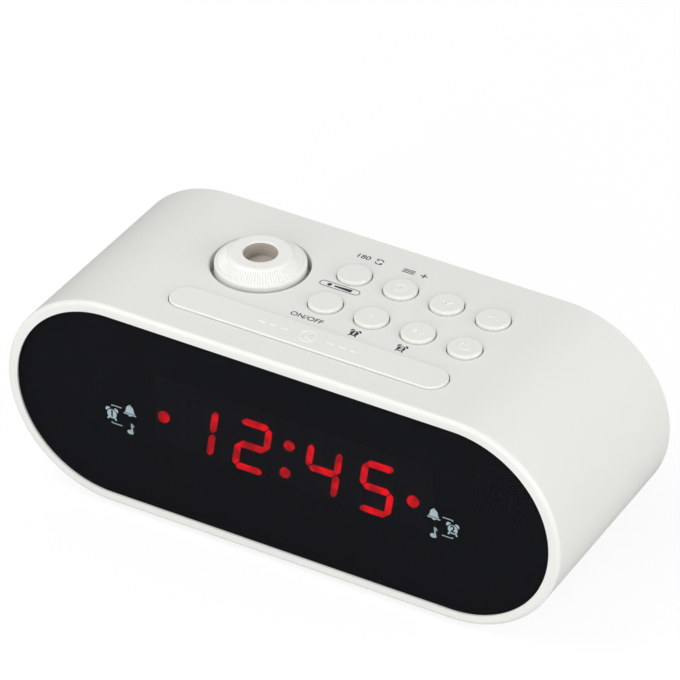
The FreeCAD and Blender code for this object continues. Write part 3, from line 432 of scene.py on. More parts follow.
class Finish(Enum):
    """Every finish of the clock. A material slot of the record gets the finish of its own name.

    The display's face, the window's black print and the unlit strokes share one dead black.
    """

    CASING = MouldedPlastic(linear(231, 231, 227))
    COVER = MouldedPlastic(linear(226, 226, 221), roughness=0.5, grain=0.00002)
    KEYS = MouldedPlastic(linear(233, 233, 228), roughness=0.38)
    DOME = MouldedPlastic(linear(236, 236, 233), roughness=0.4, drift=0.012)
    BARREL = MouldedPlastic(linear(214, 207, 198), roughness=0.55)
    HOOD = MouldedPlastic(linear(186, 179, 168), roughness=0.6)
    TUBE = MouldedPlastic(linear(38, 38, 40), roughness=0.6)
    SWITCH = MouldedPlastic(linear(34, 34, 36), roughness=0.5)
    PLUNGER = MouldedPlastic(linear(120, 70, 56), roughness=0.45)
    DISPLAY = MASK = DIGITS_OFF = MouldedPlastic(linear(9, 10, 12), 0.8, grain=0.000001, specular=0.1)
    CONE = MouldedPlastic(linear(44, 44, 46), roughness=0.9, grain=0.00005, grain_scale=900.0)
    BASKET = MouldedPlastic(linear(40, 40, 42), roughness=0.4)
    WINDOW = ClearMoulding(linear(31, 32, 37), 0.4, roughness=0.07, haze=(160.0, 3.0),
                           haze_shade=0.85, smears=(38.0, 4.0, 0.6), smear_share=0.05)
    DIGITS = LitDiffuser((1.0, 0.0, 0.006), 2.1, dim=0.36)
    LAMP = LitDiffuser((1.0, 0.02, 0.02), 0.5, linear(190, 60, 54))
    STEEL = BrushedMetal(linear(198, 198, 196), metallic=0.5)
    CELL = BrushedMetal(linear(205, 205, 203), 0.24, (14.0, 1.0, 14.0))
    IRON = BrushedMetal(linear(96, 96, 98), 0.55, (1.0, 22.0, 1.0), 0.7)
    MAGNET = BrushedMetal(linear(70, 70, 74), 0.6, (1.0, 1.0, 1.0), 0.2)
    CANS = BrushedMetal(linear(64, 74, 106), 0.35, (6.0, 6.0, 1.0), 0.3)
    RUBBER = SoftRubber()
    GASKET = SoftRubber(linear(9, 9, 10), linear(15, 15, 16))
    LENS = ClearMoulding(linear(208, 199, 190), 0.8)
    SLIDE = ClearMoulding(linear(60, 58, 60), 0.6)
    BOARD = CircuitBoard()
    WINDING = TapedWinding()
    DARK_INK = PrintInk(linear(52, 55, 62), linear(150, 152, 152))
    PALE_INK = PrintInk(linear(160, 178, 186), linear(120, 134, 142))
    NIGHT_INK = PrintInk(linear(24, 26, 30), linear(34, 36, 40))
    CASE_INK = PrintInk(linear(226, 226, 222), linear(205, 205, 202))
    RAISED = MouldedPlastic(linear(240, 240, 236), roughness=0.34, drift=0.01)

    def made(self) -> bpy.types.Material:
        """The material of this finish, built once."""
        name = "finish_" + self.name.lower()
        return bpy.data.materials.get(name) or self.value.material(name)


@dataclass
class Bench:
    """Hand modelling: the operators that every sub-assembly uses."""

    tube_sides: int = 128
    crease: float = math.radians(30)

    def clear(self) -> None:
        """Deselects everything and leaves edit mode."""
        if bpy.context.object and bpy.context.object.mode != "OBJECT":
            bpy.ops.object.mode_set(mode="OBJECT")
        bpy.ops.object.select_all(action="DESELECT")

    def take(self, pieces: Iterable[Piece]) -> None:
        """Selects pieces and makes the first one active.

        Args:
            pieces: what is selected.
        """
        self.clear()
        chosen = list(pieces)
        for piece in chosen:
            piece.select_set(True)
        bpy.context.view_layer.objects.active = chosen[0]

    def joined(self, pieces: Sequence[Piece], name: str) -> Piece:
        """One mesh object from several, with its place in its mesh.

        Args:
            pieces: mesh, text or curve objects.
            name: the joined piece's name.

        Returns:
            The joined piece.
        """
        for piece in pieces:
            if piece.type != "MESH":
                self.take([piece])
                bpy.ops.object.convert(target="MESH")
        self.take(pieces)
        bpy.ops.object.transform_apply(location=True, rotation=True, scale=True)
        if len(pieces) > 1:
            bpy.ops.object.join()
        piece = bpy.context.object
        piece.name = name
        piece.data.name = name
        self.clear()
        return piece

    def outline(self, points: Sequence[Point]) -> Piece:
        """A flat face from its corners in order, anticlockwise, looking up.

        Args:
            points: the corners.

        Returns:
            The face as an object.
        """
        self.clear()
        mesh = bpy.data.meshes.new("outline")
        mesh.from_pydata([(x, y, 0.0) for x, y in points], [], [tuple(range(len(points)))])
        piece = bpy.data.objects.new("outline", mesh)
        bpy.context.collection.objects.link(piece)
        return piece

    def face_outwards(self) -> None:
        """Turns the faces of the mesh in edit mode outwards, and leaves edit mode."""
        bpy.ops.mesh.select_all(action="SELECT")
        bpy.ops.mesh.normals_make_consistent(inside=False)
        bpy.ops.object.mode_set(mode="OBJECT")

    def thicken(self, piece: Piece, height: float) -> None:
        """Extrudes a flat piece upwards to a solid.

        Args:
            piece: the flat piece.
            height: how thick it becomes.
        """
        self.take([piece])
        bpy.ops.object.mode_set(mode="EDIT")
        bpy.ops.mesh.select_all(action="SELECT")
        bpy.ops.mesh.extrude_region_move(TRANSFORM_OT_translate={"value": (0.0, 0.0, height)})
        self.face_outwards()

    def tube(self, name: str, axis: Vector, radius: float, wall: float, foot: float, top: float) -> Piece:
        """An upright tube.

        Args:
            name: the piece's name.
            axis: a point on its axis.
            radius: its outer radius.
            wall: how thick it is.
            foot: the height of its lower end.
            top: the height of its upper end.

        Returns:
            The tube.
        """
        self.clear()
        bpy.ops.mesh.primitive_cylinder_add(
            vertices=self.tube_sides, radius=radius, depth=top - foot, end_fill_type="NOTHING",
            location=(axis.x, axis.y, (foot + top) / 2))
        piece = self.joined([bpy.context.object], name)
        self.take([piece])
        solid = piece.modifiers.new("wall", "SOLIDIFY")
        solid.thickness = wall
        solid.offset = -1.0
        solid.use_even_offset = True
        bpy.ops.object.modifier_apply(modifier=solid.name)
        bpy.ops.object.mode_set(mode="EDIT")
        self.face_outwards()
        bpy.ops.object.shade_smooth_by_angle(angle=self.crease)
        self.clear()
        return piece

    def dress(self, piece: Piece, finish: Finish, body: str, slot: str) -> Piece:
        """Gives a piece its finish and body.

        Args:
            piece: the finished mesh.
            finish: its material.
            body: the CAD body that it moves with.
            slot: the record's material slot; not used.

        Returns:
            The same piece.
        """
        piece.data.materials.clear()
        piece.data.materials.append(finish.made())
        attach(piece, body)
        LOG.info("made %s on %s", piece.name, body)
        return piece


@dataclass
class Marks(Bench):
    """Flat marks drawn in a plane: words, bells, alarm clocks and notes.

    The sizes of a bell are shares of half its height, and those of a clock or a note of its height.
    Each of a bell's arcs has a radius, a start and an end in degrees, a rise and a number of steps.
    """

    capital_share: float = 0.72
    letter_steps: int = 4
    plain_swell: float = 0.012
    bold_swell: float = 0.05
    arc_step: float = 12.0
    least_steps: int = 6
    stroke_end: float = 0.4
    bell_arcs: tuple = ((0.60, 0, 180, 0.22, 14), (0.16, 0, 360, 0.84, 12), (0.26, 180, 360, -0.72, 8))
    bell_skirt: Points = ((-0.66, -0.16), (-0.86, -0.44), (0.86, -0.44), (0.66, -0.16))
    bell_lip: Points = ((-1.0, -0.74), (1.0, -0.74), (1.0, -0.56), (-1.0, -0.56))
    note_head: Point = (0.27, 0.19)
    note_head_drop: float = 0.31
    note_head_steps: int = 18
    note_stem: Points = ((0.16, -0.28), (0.10, 0.42))
    note_flag: Points = ((0.04, 0.50), (0.10, 0.24), (0.36, 0.22), (0.24, 0.42))
    clock_dial: float = 0.35
    clock_dial_steps: int = 28
    clock_bell: float = 0.19
    clock_bell_steps: int = 12
    clock_bell_gap: float = 0.06
    clock_bell_lean: float = 43.0
    clock_foot: Points = ((0.22, -0.28), (0.31, -0.42))
    thick_line: float = 0.12

    def text(self, words: str, height: float, middle: Point, squeeze: float = 1.0,
             bold: bool = False) -> Piece:
        """A word or number as a flat text.

        Args:
            words: what it says.
            height: the height of its capitals.
            middle: its centre.
            squeeze: its width against the plain one.
            bold: whether its strokes are thick, as on a dial.

        Returns:
            The text as an object.
        """
        self.clear()
        bpy.ops.object.text_add(location=(middle[0], middle[1], 0.0))
        piece = bpy.context.object
        piece.data.body = words
        piece.data.size = height / self.capital_share
        piece.data.align_x = "CENTER"
        piece.data.align_y = "CENTER"
        piece.data.resolution_u = self.letter_steps
        piece.data.offset = height * (self.bold_swell if bold else self.plain_swell)
        piece.scale = (squeeze, 1.0, 1.0)
        return piece

    def polar(self, radius: float, turn: float, middle: Point) -> Point:
        """The point at a radius and at a turn, in degrees, about a middle."""
        angle = math.radians(turn)
        return middle[0] + radius * math.cos(angle), middle[1] + radius * math.sin(angle)

    def arc_points(self, radius: float, start: float, end: float, middle: Point, steps: int) -> list[Point]:
        """Points along an arc, in degrees."""
        return [self.polar(radius, start + (end - start) * n / steps, middle) for n in range(steps + 1)]

    def disc(self, radius: float, middle: Point, steps: int) -> Piece:
        """A round face."""
        return self.outline(self.arc_points(radius, 0, 360, middle, steps)[:-1])

    def band(self, radius: float, width: float, start: float, end: float, middle: Point) -> Piece:
        """A curved stroke of even width.

        Args:
            radius: the radius of its middle line.
            width: how wide it is.
            start: where it begins, in degrees.
            end: where it ends, in degrees.
            middle: the middle of its curve.

        Returns:
            The flat band.
        """
        steps = max(self.least_steps, int(abs(end - start) / self.arc_step))
        outer = self.arc_points(radius + width / 2, start, end, middle, steps)
        inner = self.arc_points(radius - width / 2, end, start, middle, steps)
        return self.outline(outer + inner)

    def stroke(self, first: Point, last: Point, width: float) -> Piece:
        """A straight stroke of even width.

        Args:
            first: its one end.
            last: its other end.
            width: how wide it is.

        Returns:
            The flat stroke, a little longer at both ends.
        """
        along = Vector((last[0] - first[0], last[1] - first[1])).normalized() * (width / 2)
        side = Vector((-along.y, along.x))
        a, b = Vector(first) - along * self.stroke_end, Vector(last) + along * self.stroke_end
        return self.outline([(p.x, p.y) for p in (a - side, b - side, b + side, a + side)])

    def near(self, middle: Point, corners: Sequence[Point], size: float) -> list[Point]:
        """Corners about a middle, from shares of a size."""
        return [(middle[0] + x * size, middle[1] + y * size) for x, y in corners]

    def bell(self, size: float, middle: Point) -> Pieces:
        """A bell with its mouth downwards.

        Args:
            size: its height.
            middle: its centre.

        Returns:
            Its flat parts.
        """
        half = size / 2
        crown, knob, clapper = (
            self.arc_points(half * radius, start, end, (middle[0], middle[1] + half * rise), steps)
            for radius, start, end, rise, steps in self.bell_arcs
        )
        skirt, lip = (self.near(middle, corners, half) for corners in (self.bell_skirt, self.bell_lip))
        return [self.outline(points) for points in (crown + skirt, knob[:-1], lip, clapper)]

    def note(self, size: float, middle: Point) -> Pieces:
        """A musical note.

        Args:
            size: its height.
            middle: its centre.

        Returns:
            Its flat parts.
        """
        (wide, high), drop = self.note_head, self.note_head_drop
        turns = (2 * math.pi * n / self.note_head_steps for n in range(self.note_head_steps))
        head = self.near(middle, [(wide * math.cos(a), high * math.sin(a) - drop) for a in turns], size)
        foot, tip = self.near(middle, self.note_stem, size)
        flag = self.near(middle, self.note_flag, size)
        stem = self.stroke(foot, tip, size * self.thick_line)
        return [self.outline(head), stem, self.outline(flag)]

    def alarm(self, size: float, middle: Point) -> Pieces:
        """A small alarm clock with a plain dial, two bells and two feet.

        Args:
            size: its height.
            middle: the middle of its dial.

        Returns:
            Its flat parts.
        """
        radius = size * self.clock_dial
        pieces = [self.disc(radius, middle, self.clock_dial_steps)]
        for side in (-1, 1):
            toward = 90 - side * self.clock_bell_lean
            spot = self.polar(radius + size * self.clock_bell_gap, toward, middle)
            start, end, steps = toward - 90, toward + 90, self.clock_bell_steps
            bell = self.arc_points(size * self.clock_bell, start, end, spot, steps)
            hip, toe = self.near(middle, [(side * x, y) for x, y in self.clock_foot], size)
            pieces += [self.outline(bell), self.stroke(hip, toe, size * self.thick_line)]
        return pieces

    def ring(self, radius: float, width: float, middle: Point) -> Piece:
        """A closed ring of even width as two half bands."""
        halves = [self.band(radius, width, start, start + 180, middle) for start in (90, -90)]
        return self.joined(halves, "ring")


@dataclass
class PrintedTop(Marks):
    """The printed marks by the round buttons, on the casing's top, which falls a little to the back."""

    fall: float = 0.9 * MM
    rounding: float = 1.2 * MM
    ink: float = 0.02 * MM
    sink: float = -0.004 * MM
    letter_height: float = 1.75 * MM
    back_label_gap: float = 8.55 * MM
    front_label_gap: float = 7.65 * MM
    clock_height: float = 3.2 * MM
    clock_shifts: Point = (-0.55 * MM, -0.5 * MM)
    number_share: float = 0.5
    on_off_shift: float = 0.95 * MM
    on_off_squeeze: float = 1.04
    degrees_shift: float = 4.6 * MM
    degrees_squeeze: float = 1.12
    arrow_shift: float = 2.3 * MM
    arrow_radius: float = 1.05 * MM
    arrow_starts: Point = (20.0, 200.0)
    arrow_sweep: float = 115.0
    arrow_base: float = 108.0
    arrow_tip: float = 150.0
    arrow_half: float = 0.5 * MM
    bar_line: float = 0.3 * MM
    bar_gap: float = 0.62 * MM
    bar_ends: Point = (-4.0 * MM, -0.8 * MM)
    plus_line: float = 0.32 * MM
    plus_half: float = 0.9 * MM
    plus_shift: float = 1.9 * MM
    pill_shift: Point = (-0.55 * MM, 8.1 * MM)
    pill_length: float = 11.2 * MM
    pill_width: float = 2.1 * MM
    pill_line: float = 0.22 * MM
    lamp_radius: float = 0.62 * MM
    lamp_shift: float = 2.9 * MM
    lamp_steps: int = 20
    beam: Points = ((-1.5, -0.3), (3.4, -0.62), (3.4, 0.62), (-1.5, 0.3))

    def middle_of(self, button: str) -> Vector:
        """The middle of a button, from its box."""
        low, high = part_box("button_" + button)
        return (low + high) / 2

    def flip_mark(self) -> Pieces:
        """Two arrows that turn half round, and 180: the projected time can be turned over.

        Returns:
            The flat parts of the mark.
        """
        spot = self.middle_of("flip")
        x, y = spot.x + self.arrow_shift, spot.y + self.back_label_gap
        radius, half = self.arrow_radius, self.arrow_half
        tip, base = self.arrow_tip, self.arrow_base
        head = ((radius, tip), (radius - half, base), (radius + half, base))
        pieces = []
        for start in self.arrow_starts:
            pieces.append(self.band(radius, self.bar_line, start, start + self.arrow_sweep, (x, y)))
            corners = [self.polar(far, start + turn, (x, y)) for far, turn in head]
            pieces.append(self.outline(corners))
        degrees = (x - self.degrees_shift, y)
        pieces.append(self.text("180", self.letter_height, degrees, self.degrees_squeeze))
        return pieces

    def memory_mark(self) -> Pieces:
        """Three short bars and a plus: stored stations.

        Returns:
            The flat parts of the mark.
        """
        spot = self.middle_of("memory")
        x, y = spot.x, spot.y + self.back_label_gap
        (left, right), half, plus = self.bar_ends, self.plus_half, x + self.plus_shift
        stroke = self.stroke
        pieces = [stroke((x + left, y + rise), (x + right, y + rise), self.bar_line)
                  for rise in (-self.bar_gap, 0.0, self.bar_gap)]
        pieces.append(stroke((plus - half, y), (plus + half, y), self.plus_line))
        pieces.append(stroke((plus, y - half), (plus, y + half), self.plus_line))
        return pieces

    def beam_mark(self) -> Pieces:
        """A long rounded outline with a lamp and its beam, over the projection button.

        Returns:
            The flat parts of the mark.
        """
        spot = self.middle_of("projection")
        x, y = spot.x + self.pill_shift[0], spot.y + self.pill_shift[1]
        radius, line = self.pill_width / 2, self.pill_line
        half = self.pill_length / 2 - radius
        ends = ((half, -90), (-half, 90))
        pieces = [self.band(radius, line, start, start + 180, (x + far, y)) for far, start in ends]
        for rise in (-radius, radius):
            pieces.append(self.stroke((x - half, y + rise), (x + half, y + rise), line))
        pieces.append(self.outline(self.near((x, y), self.beam, MM)))
        pieces.append(self.disc(self.lamp_radius, (x - self.lamp_shift, y), self.lamp_steps))
        return pieces

    def lay(self, pieces: Pieces, name: str, lift: float, finish: Finish) -> None:
        """Joins flat marks, thickens them and lays them on the sloping top.

        Args:
            pieces: flat marks in the XY plane, at their own X and Y.
            name: the piece's name.
            lift: the height of their underside over the top.
            finish: their ink.
        """
        low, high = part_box("main_shell")
        crest, depth = low.y + self.rounding, high.y - low.y
        piece = self.joined(pieces, name)
        self.thicken(piece, self.ink)
        for vertex in piece.data.vertices:
            vertex.co.z += high.z - self.fall * (vertex.co.y - crest) / depth + lift
        self.dress(piece, finish, "casing", "casing")

    def build(self) -> None:
        """Lays the marks and the numbers on the two alarm clocks."""
        gap = self.front_label_gap
        on_off = self.middle_of("projection")
        word_at = (on_off.x - self.on_off_shift, on_off.y - gap)
        spots = [self.middle_of(button) for button in ("alarm_one", "alarm_two")]
        one, two = ((spot.x + shift, spot.y - gap) for spot, shift in zip(spots, self.clock_shifts))
        labels = {
            "label_flip": self.flip_mark(),
            "label_memory": self.memory_mark(),
            "label_beam": self.beam_mark(),
            "label_on_off": [self.text("ON/OFF", self.letter_height, word_at, self.on_off_squeeze)],
            "label_alarm_one": self.alarm(self.clock_height, one),
            "label_alarm_two": self.alarm(self.clock_height, two),
        }
        for name, pieces in labels.items():
            self.lay(pieces, name, self.sink, Finish.DARK_INK)
        height = self.clock_height * self.number_share
        numbers = [self.text("1", height, one, bold=True), self.text("2", height, two, bold=True)]
        self.lay(numbers, "label_numbers", self.sink + self.ink / 2, Finish.CASE_INK)


@dataclass
class ButtonMarks(Marks):
    """Raised marks on the round buttons and on the snooze bar."""

    rise: float = 0.09 * MM
    sink: float = 0.03 * MM
    line: float = 0.34 * MM
    dial: float = 1.5 * MM
    long_hand: float = 1.0 * MM
    short_hand: float = 0.7 * MM
    arrow_half: float = 1.3 * MM
    arrow_tip: float = 0.75 * MM
    arrow_foot: float = 0.6 * MM
    dot: float = 0.42 * MM
    dot_steps: int = 18
    horn: Points = ((-1.6, -0.4), (-0.9, -0.4), (-0.1, -1.0), (-0.1, 1.0), (-0.9, 0.4), (-1.6, 0.4))
    waves: Point = (0.8 * MM, 1.45 * MM)
    wave_reach: float = 45.0
    wave_share: float = 0.8
    switch_radius: float = 1.35 * MM
    switch_gap: Point = (125.0, 415.0)
    switch_stroke: Point = (0.3 * MM, 1.6 * MM)
    moon_radius: float = 2.2 * MM
    moon_line: float = 0.42 * MM
    letter_height: float = 2.4 * MM
    letter_shift: float = 0.1 * MM
    dash_start: float = 6.5 * MM
    dash_pitch: float = 3.2 * MM
    dash_half: float = 0.9 * MM
    dash_line: float = 0.5 * MM

    def clock(self, at: Point) -> Pieces:
        """A dial with two hands."""
        hands = ((at[0], at[1] + self.long_hand), (at[0] + self.short_hand, at[1]))
        dial = self.ring(self.dial, self.line, at)
        return [dial] + [self.stroke(at, tip, self.line) for tip in hands]

    def arrow(self, at: Point, way: int) -> Pieces:
        """An arrow head that points up, with a way of 1, or down, with -1."""
        tip = (at[0], at[1] + way * self.arrow_tip)
        feet = [(at[0] + side * self.arrow_half, at[1] - way * self.arrow_foot) for side in (-1, 1)]
        return [self.stroke(foot, tip, self.line) for foot in feet]

    def sound(self, at: Point) -> Pieces:
        """A loudspeaker with two waves."""
        line, reach = self.line * self.wave_share, self.wave_reach
        waves = [self.band(radius, line, -reach, reach, at) for radius in self.waves]
        return [self.outline(self.near(at, self.horn, MM))] + waves

    def power(self, at: Point) -> Pieces:
        """A broken ring with an upright stroke."""
        foot, top = ((at[0], at[1] + rise) for rise in self.switch_stroke)
        ring = self.band(self.switch_radius, self.line, *self.switch_gap, at)
        return [ring, self.stroke(foot, top, self.line)]

    def snooze(self, at: Point) -> Pieces:
        """A ring with a letter, and three dashes on each side.

        Args:
            at: the middle of the bar.

        Returns:
            The flat parts of the mark.
        """
        x, y = at
        pieces = [self.ring(self.moon_radius, self.moon_line, at),
                  self.text("Z", self.letter_height, (x + self.letter_shift, y))]
        for side in (-1, 1):
            for place in range(3):
                spot, half = x + side * (self.dash_start + self.dash_pitch * place), self.dash_half
                pieces.append(self.stroke((spot - half, y), (spot + half, y), self.dash_line))
        return pieces

    def raise_mark(self, node: str, name: str, body: str, draw: Callable[[Point], Pieces]) -> None:
        """Draws a mark and raises it out of a cap's flat face.

        Args:
            node: the cap's node.
            name: the mark's name.
            body: the CAD body that it moves with.
            draw: what draws it about a point.
        """
        low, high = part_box(node)
        piece = self.joined(draw(((low.x + high.x) / 2, (low.y + high.y) / 2)), name)
        self.thicken(piece, self.rise + self.sink)
        piece.data.transform(Matrix.Translation((0.0, 0.0, high.z - self.sink)))
        self.dress(piece, Finish.RAISED, body, "keys")

    def build(self) -> None:
        """Raises the marks of six buttons and of the snooze bar."""
        marks = {
            "memory": self.clock,
            "down": lambda at: self.arrow(at, -1),
            "up": lambda at: self.arrow(at, 1),
            "alarm_one": lambda at: [self.disc(self.dot, at, self.dot_steps)],
            "alarm_two": self.sound,
            "power": self.power,
        }
        for button, draw in marks.items():
            self.raise_mark("button_" + button, "mark_" + button, "key_" + button, draw)
        self.raise_mark("snooze_bar", "mark_snooze", "snooze", self.snooze)


@dataclass
class WindowMarks(Marks):
    """The pale marks on the window's front, and the black print on its back and edge."""

    ink: float = 0.02 * MM
    sink: float = 0.004 * MM
    unit: float = 27.1 * MM
    shift: float = 0.5 * MM
    bell_height: float = 3.6 * MM
    clock_height: float = 3.9 * MM
    note_height: float = 3.4 * MM
    bell_spot: Point = (1.605, 0.007)
    clock_spot: Point = (1.80, -0.095)
    note_spot: Point = (1.602, -0.195)
    number_share: float = 0.52
    line: float = 0.24 * MM
    line_start: float = 0.68
    bend: float = 0.35 * MM
    film: float = 0.02 * MM
    steps: int = 60
    opening_margin: float = 0.25 * MM
    shroud_wall: float = 0.2 * MM

    def upright(self, piece: Piece, y: float) -> None:
        """Turns a piece from the XY plane to the window's plane, facing forwards.

        Args:
            piece: the piece.
            y: the depth of its foot.
        """
        turn = Matrix(((1, 0, 0, 0), (0, 0, -1, y), (0, 1, 0, self.centre_height()), (0, 0, 0, 1)))
        piece.data.transform(turn)
        piece.data.update()

    def centre_height(self) -> float:
        """The height of the window's middle."""
        low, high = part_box("front_window")
        return (low.z + high.z) / 2

    def at(self, spot: Point, side: int) -> Point:
        """A place on the window's one or other side, from its middle, from window units."""
        return spot[0] * side * self.unit + self.shift, spot[1] * self.unit

    def group(self, side: int) -> Pieces:
        """A bell, an alarm clock and a note with the two lines that join them.

        Args:
            side: -1 for the left one, 1 for the right one.

        Returns:
            The flat parts of the group.
        """
        spots = (self.bell_spot, self.clock_spot, self.note_spot)
        bell, clock, note = (self.at(spot, side) for spot in spots)
        pieces = self.bell(self.bell_height, bell)
        pieces += self.alarm(self.clock_height, clock)
        pieces += self.note(self.note_height, note)
        for start, toward in ((bell, -1), (note, 1)):
            first = (start[0] + side * self.bell_height * self.line_start, start[1])
            corner = (clock[0], start[1])
            pieces.append(self.stroke(first, corner, self.line))
            pieces.append(self.stroke(corner, (corner[0], corner[1] + toward * self.bend), self.line))
        return pieces

    def round_ended(self, radius: float) -> list[Point]:
        """The outline of the window at a radius, from its middle.

        Args:
            radius: the radius of its ends.

        Returns:
            Its corners, anticlockwise.
        """
        low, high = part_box("front_window")
        half = (high.x - low.x - high.z + low.z) / 2
        right = self.arc_points(radius, -90, 90, (half, 0.0), self.steps)
        return right + self.arc_points(radius, 90, 270, (-half, 0.0), self.steps)

    def sheet(self, outlines: Sequence[Sequence[Point]], name: str, front: float, back: float) -> None:
        """A dark upright sheet between two depths.

        Args:
            outlines: its edge, and the edge of the hole in it.
            name: the piece's name.
            front: the depth of its front.
            back: the depth of its back.
        """
        self.clear()
        curve = bpy.data.curves.new(name, "CURVE")
        curve.dimensions = "2D"
        curve.fill_mode = "BOTH"
        for points in outlines:
            spline = curve.splines.new("POLY")
            spline.points.add(len(points) - 1)
            for spot, (x, y) in zip(spline.points, points):
                spot.co = (x, y, 0.0, 1.0)
            spline.use_cyclic_u = True
        piece = bpy.data.objects.new(name, curve)
        bpy.context.collection.objects.link(piece)
        piece = self.joined([piece], name)
        self.thicken(piece, back - front)
        self.upright(piece, back)
        self.dress(piece, Finish.MASK, "casing", "display")

    def opening(self, grown: float) -> list[Point]:
        """The corners of the opening in front of the display's face, from the window's middle.

        Args:
            grown: how much further out they are.

        Returns:
            The corners, clockwise.
        """
        low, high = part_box("display_module")
        centre, inward = self.centre_height(), self.opening_margin - grown
        left, right = low.x + inward, high.x - inward
        foot, top = low.z - centre + inward, high.z - centre - inward
        return [(left, foot), (left, top), (right, top), (right, foot)]

    def make_mask(self) -> None:
        """Black print on the window's back and edge, and a shroud from its opening to the display."""
        low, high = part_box("front_window")
        radius, film, hole = (high.z - low.z) / 2, self.film, self.opening(0.0)
        ink = [self.round_ended(radius - film), hole]
        self.sheet(ink, "window_print", high.y - 2 * film, high.y - film)
        rim = [self.round_ended(radius + 3 * film), self.round_ended(radius + film)]
        self.sheet(rim, "window_edge", low.y + film, high.y)
        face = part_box("display_module")[0].y
        self.sheet([self.opening(self.shroud_wall), hole], "display_shroud", high.y, face)

    def print_on(self, piece: Piece, y: float, finish: Finish) -> None:
        """Stands a flat piece up on the window, with its back at a depth.

        Args:
            piece: the flat piece.
            y: the depth.
            finish: its ink.
        """
        self.thicken(piece, self.ink)
        self.upright(piece, y)
        self.dress(piece, finish, "casing", "window")

    def build(self) -> None:
        """Prints both groups, the back and the edge."""
        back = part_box("front_window")[0].y + self.sink
        for side, words, name in ((-1, "1", "print_left"), (1, "2", "print_right")):
            self.print_on(self.joined(self.group(side), name), back, Finish.PALE_INK)
            dial = self.at(self.clock_spot, side)
            number = self.text(words, self.clock_height * self.number_share, dial, bold=True)
            number = self.joined([number], name + "_number")
            self.print_on(number, back - self.ink / 2, Finish.NIGHT_INK)
        self.make_mask()


@dataclass
class Figures(Bench):
    """The display's figures, as the model has them but lower, further left and a little taller."""

    nodes: dict[str, Piece] = field(default_factory=dict)
    shift: Vector = field(default_factory=lambda: Vector((-1.55 * MM, 0.0, -2.43 * MM)))
    stretch: float = 1.04
    colon_growth: float = 1.16
    alarm_growth: float = 1.06

    def stand_in(self, node: str, name: str, finish: Finish, slot: str, stretch: float = 1.0) -> Piece:
        """Makes a piece from a node's mesh and lets it stand for that node.

        Args:
            node: the node's name.
            name: the piece's name.
            finish: its material.
            slot: the record's material slot.
            stretch: its height against the node's, about the display's middle.

        Returns:
            The piece.
        """
        low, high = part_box("display_module")
        middle = (low.z + high.z) / 2
        source = self.nodes[node]
        piece = bpy.data.objects.new(name, source.data.copy())
        bpy.context.collection.objects.link(piece)
        piece.data.transform(source.matrix_world)
        for vertex in piece.data.vertices:
            vertex.co.z = middle + (vertex.co.z - middle) * stretch
            vertex.co += self.shift
        self.dress(piece, finish, "casing", slot)
        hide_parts(node)
        return piece

    @staticmethod
    def swell(piece: Piece, axis: int, growth: float) -> None:
        """Widens two round dots, each about its own middle.

        Args:
            piece: the two dots.
            axis: the axis along which they stand apart.
            growth: their new width against the old.
        """
        corners = [vertex.co for vertex in piece.data.vertices]
        divide = (min(c[axis] for c in corners) + max(c[axis] for c in corners)) / 2
        for above in (True, False):
            dot = [c for c in corners if (c[axis] > divide) is above]
            for way in (0, 2):
                middle = (min(c[way] for c in dot) + max(c[way] for c in dot)) / 2
                for corner in dot:
                    corner[way] = middle + (corner[way] - middle) * growth

    def build(self) -> None:
        """Makes the lit and unlit strokes and the dots."""
        self.stand_in("strokes_lit", "figures_lit", Finish.DIGITS, "digits", self.stretch)
        self.stand_in("strokes_dark", "figures_unlit", Finish.DIGITS_OFF, "digits_off", self.stretch)
        colon = self.stand_in("colon_dots", "figures_colon", Finish.DIGITS, "digits")
        self.swell(colon, 2, self.colon_growth)
        alarm = self.stand_in("alarm_dots", "figures_alarm", Finish.DIGITS, "digits")
        self.swell(alarm, 0, self.alarm_growth)


@dataclass
class LensSurround(Bench):
    """The lining of the dome's hole, and the sleeve on the lens that slides up inside it."""

    hole_radius: float = 4.45 * MM
    lining_gap: float = 0.02 * MM
    lining_wall: float = 0.04 * MM
    lining_top: float = 0.3 * MM
    lining_foot: float = 2.0 * MM
    sleeve_gap: float = 0.13 * MM
    sleeve_wall: float = 0.15 * MM
    sleeve_rise: float = 1.5 * MM
    seating: float = 0.5 * MM

    def build(self) -> None:
        """Makes both, each on the body that carries it."""
        low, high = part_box("focus_ring")
        axis = (low + high) / 2
        lining = self.tube("hole_lining", axis, self.hole_radius - self.lining_gap, self.lining_wall,
                           high.z - self.lining_foot, high.z - self.lining_top)
        self.dress(lining, Finish.HOOD, "dome", "barrel")
        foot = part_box("projection_lens")[1].z - self.seating
        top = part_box("lens_barrel")[1].z + self.sleeve_rise
        radius = self.hole_radius - self.sleeve_gap
        sleeve = self.tube("lens_sleeve", axis, radius, self.sleeve_wall, foot, top)
        self.dress(sleeve, Finish.HOOD, "barrel", "barrel")


@dataclass(frozen=True)
class Lamp:
    """A soft square lamp that looks at the clock."""

    name: str
    place: Triple
    size: float
    power: float
    aim: Triple = (0.0, 0.0, 0.03)

    def add(self) -> None:
        """Puts the lamp up."""
        bpy.ops.object.light_add(type="AREA", location=self.place)
        lamp = bpy.context.object
        lamp.name = self.name
        lamp.data.size = self.size
        lamp.data.energy = self.power
        lamp.rotation_euler = (Vector(self.aim) - Vector(self.place)).to_track_quat("-Z", "Y").to_euler()


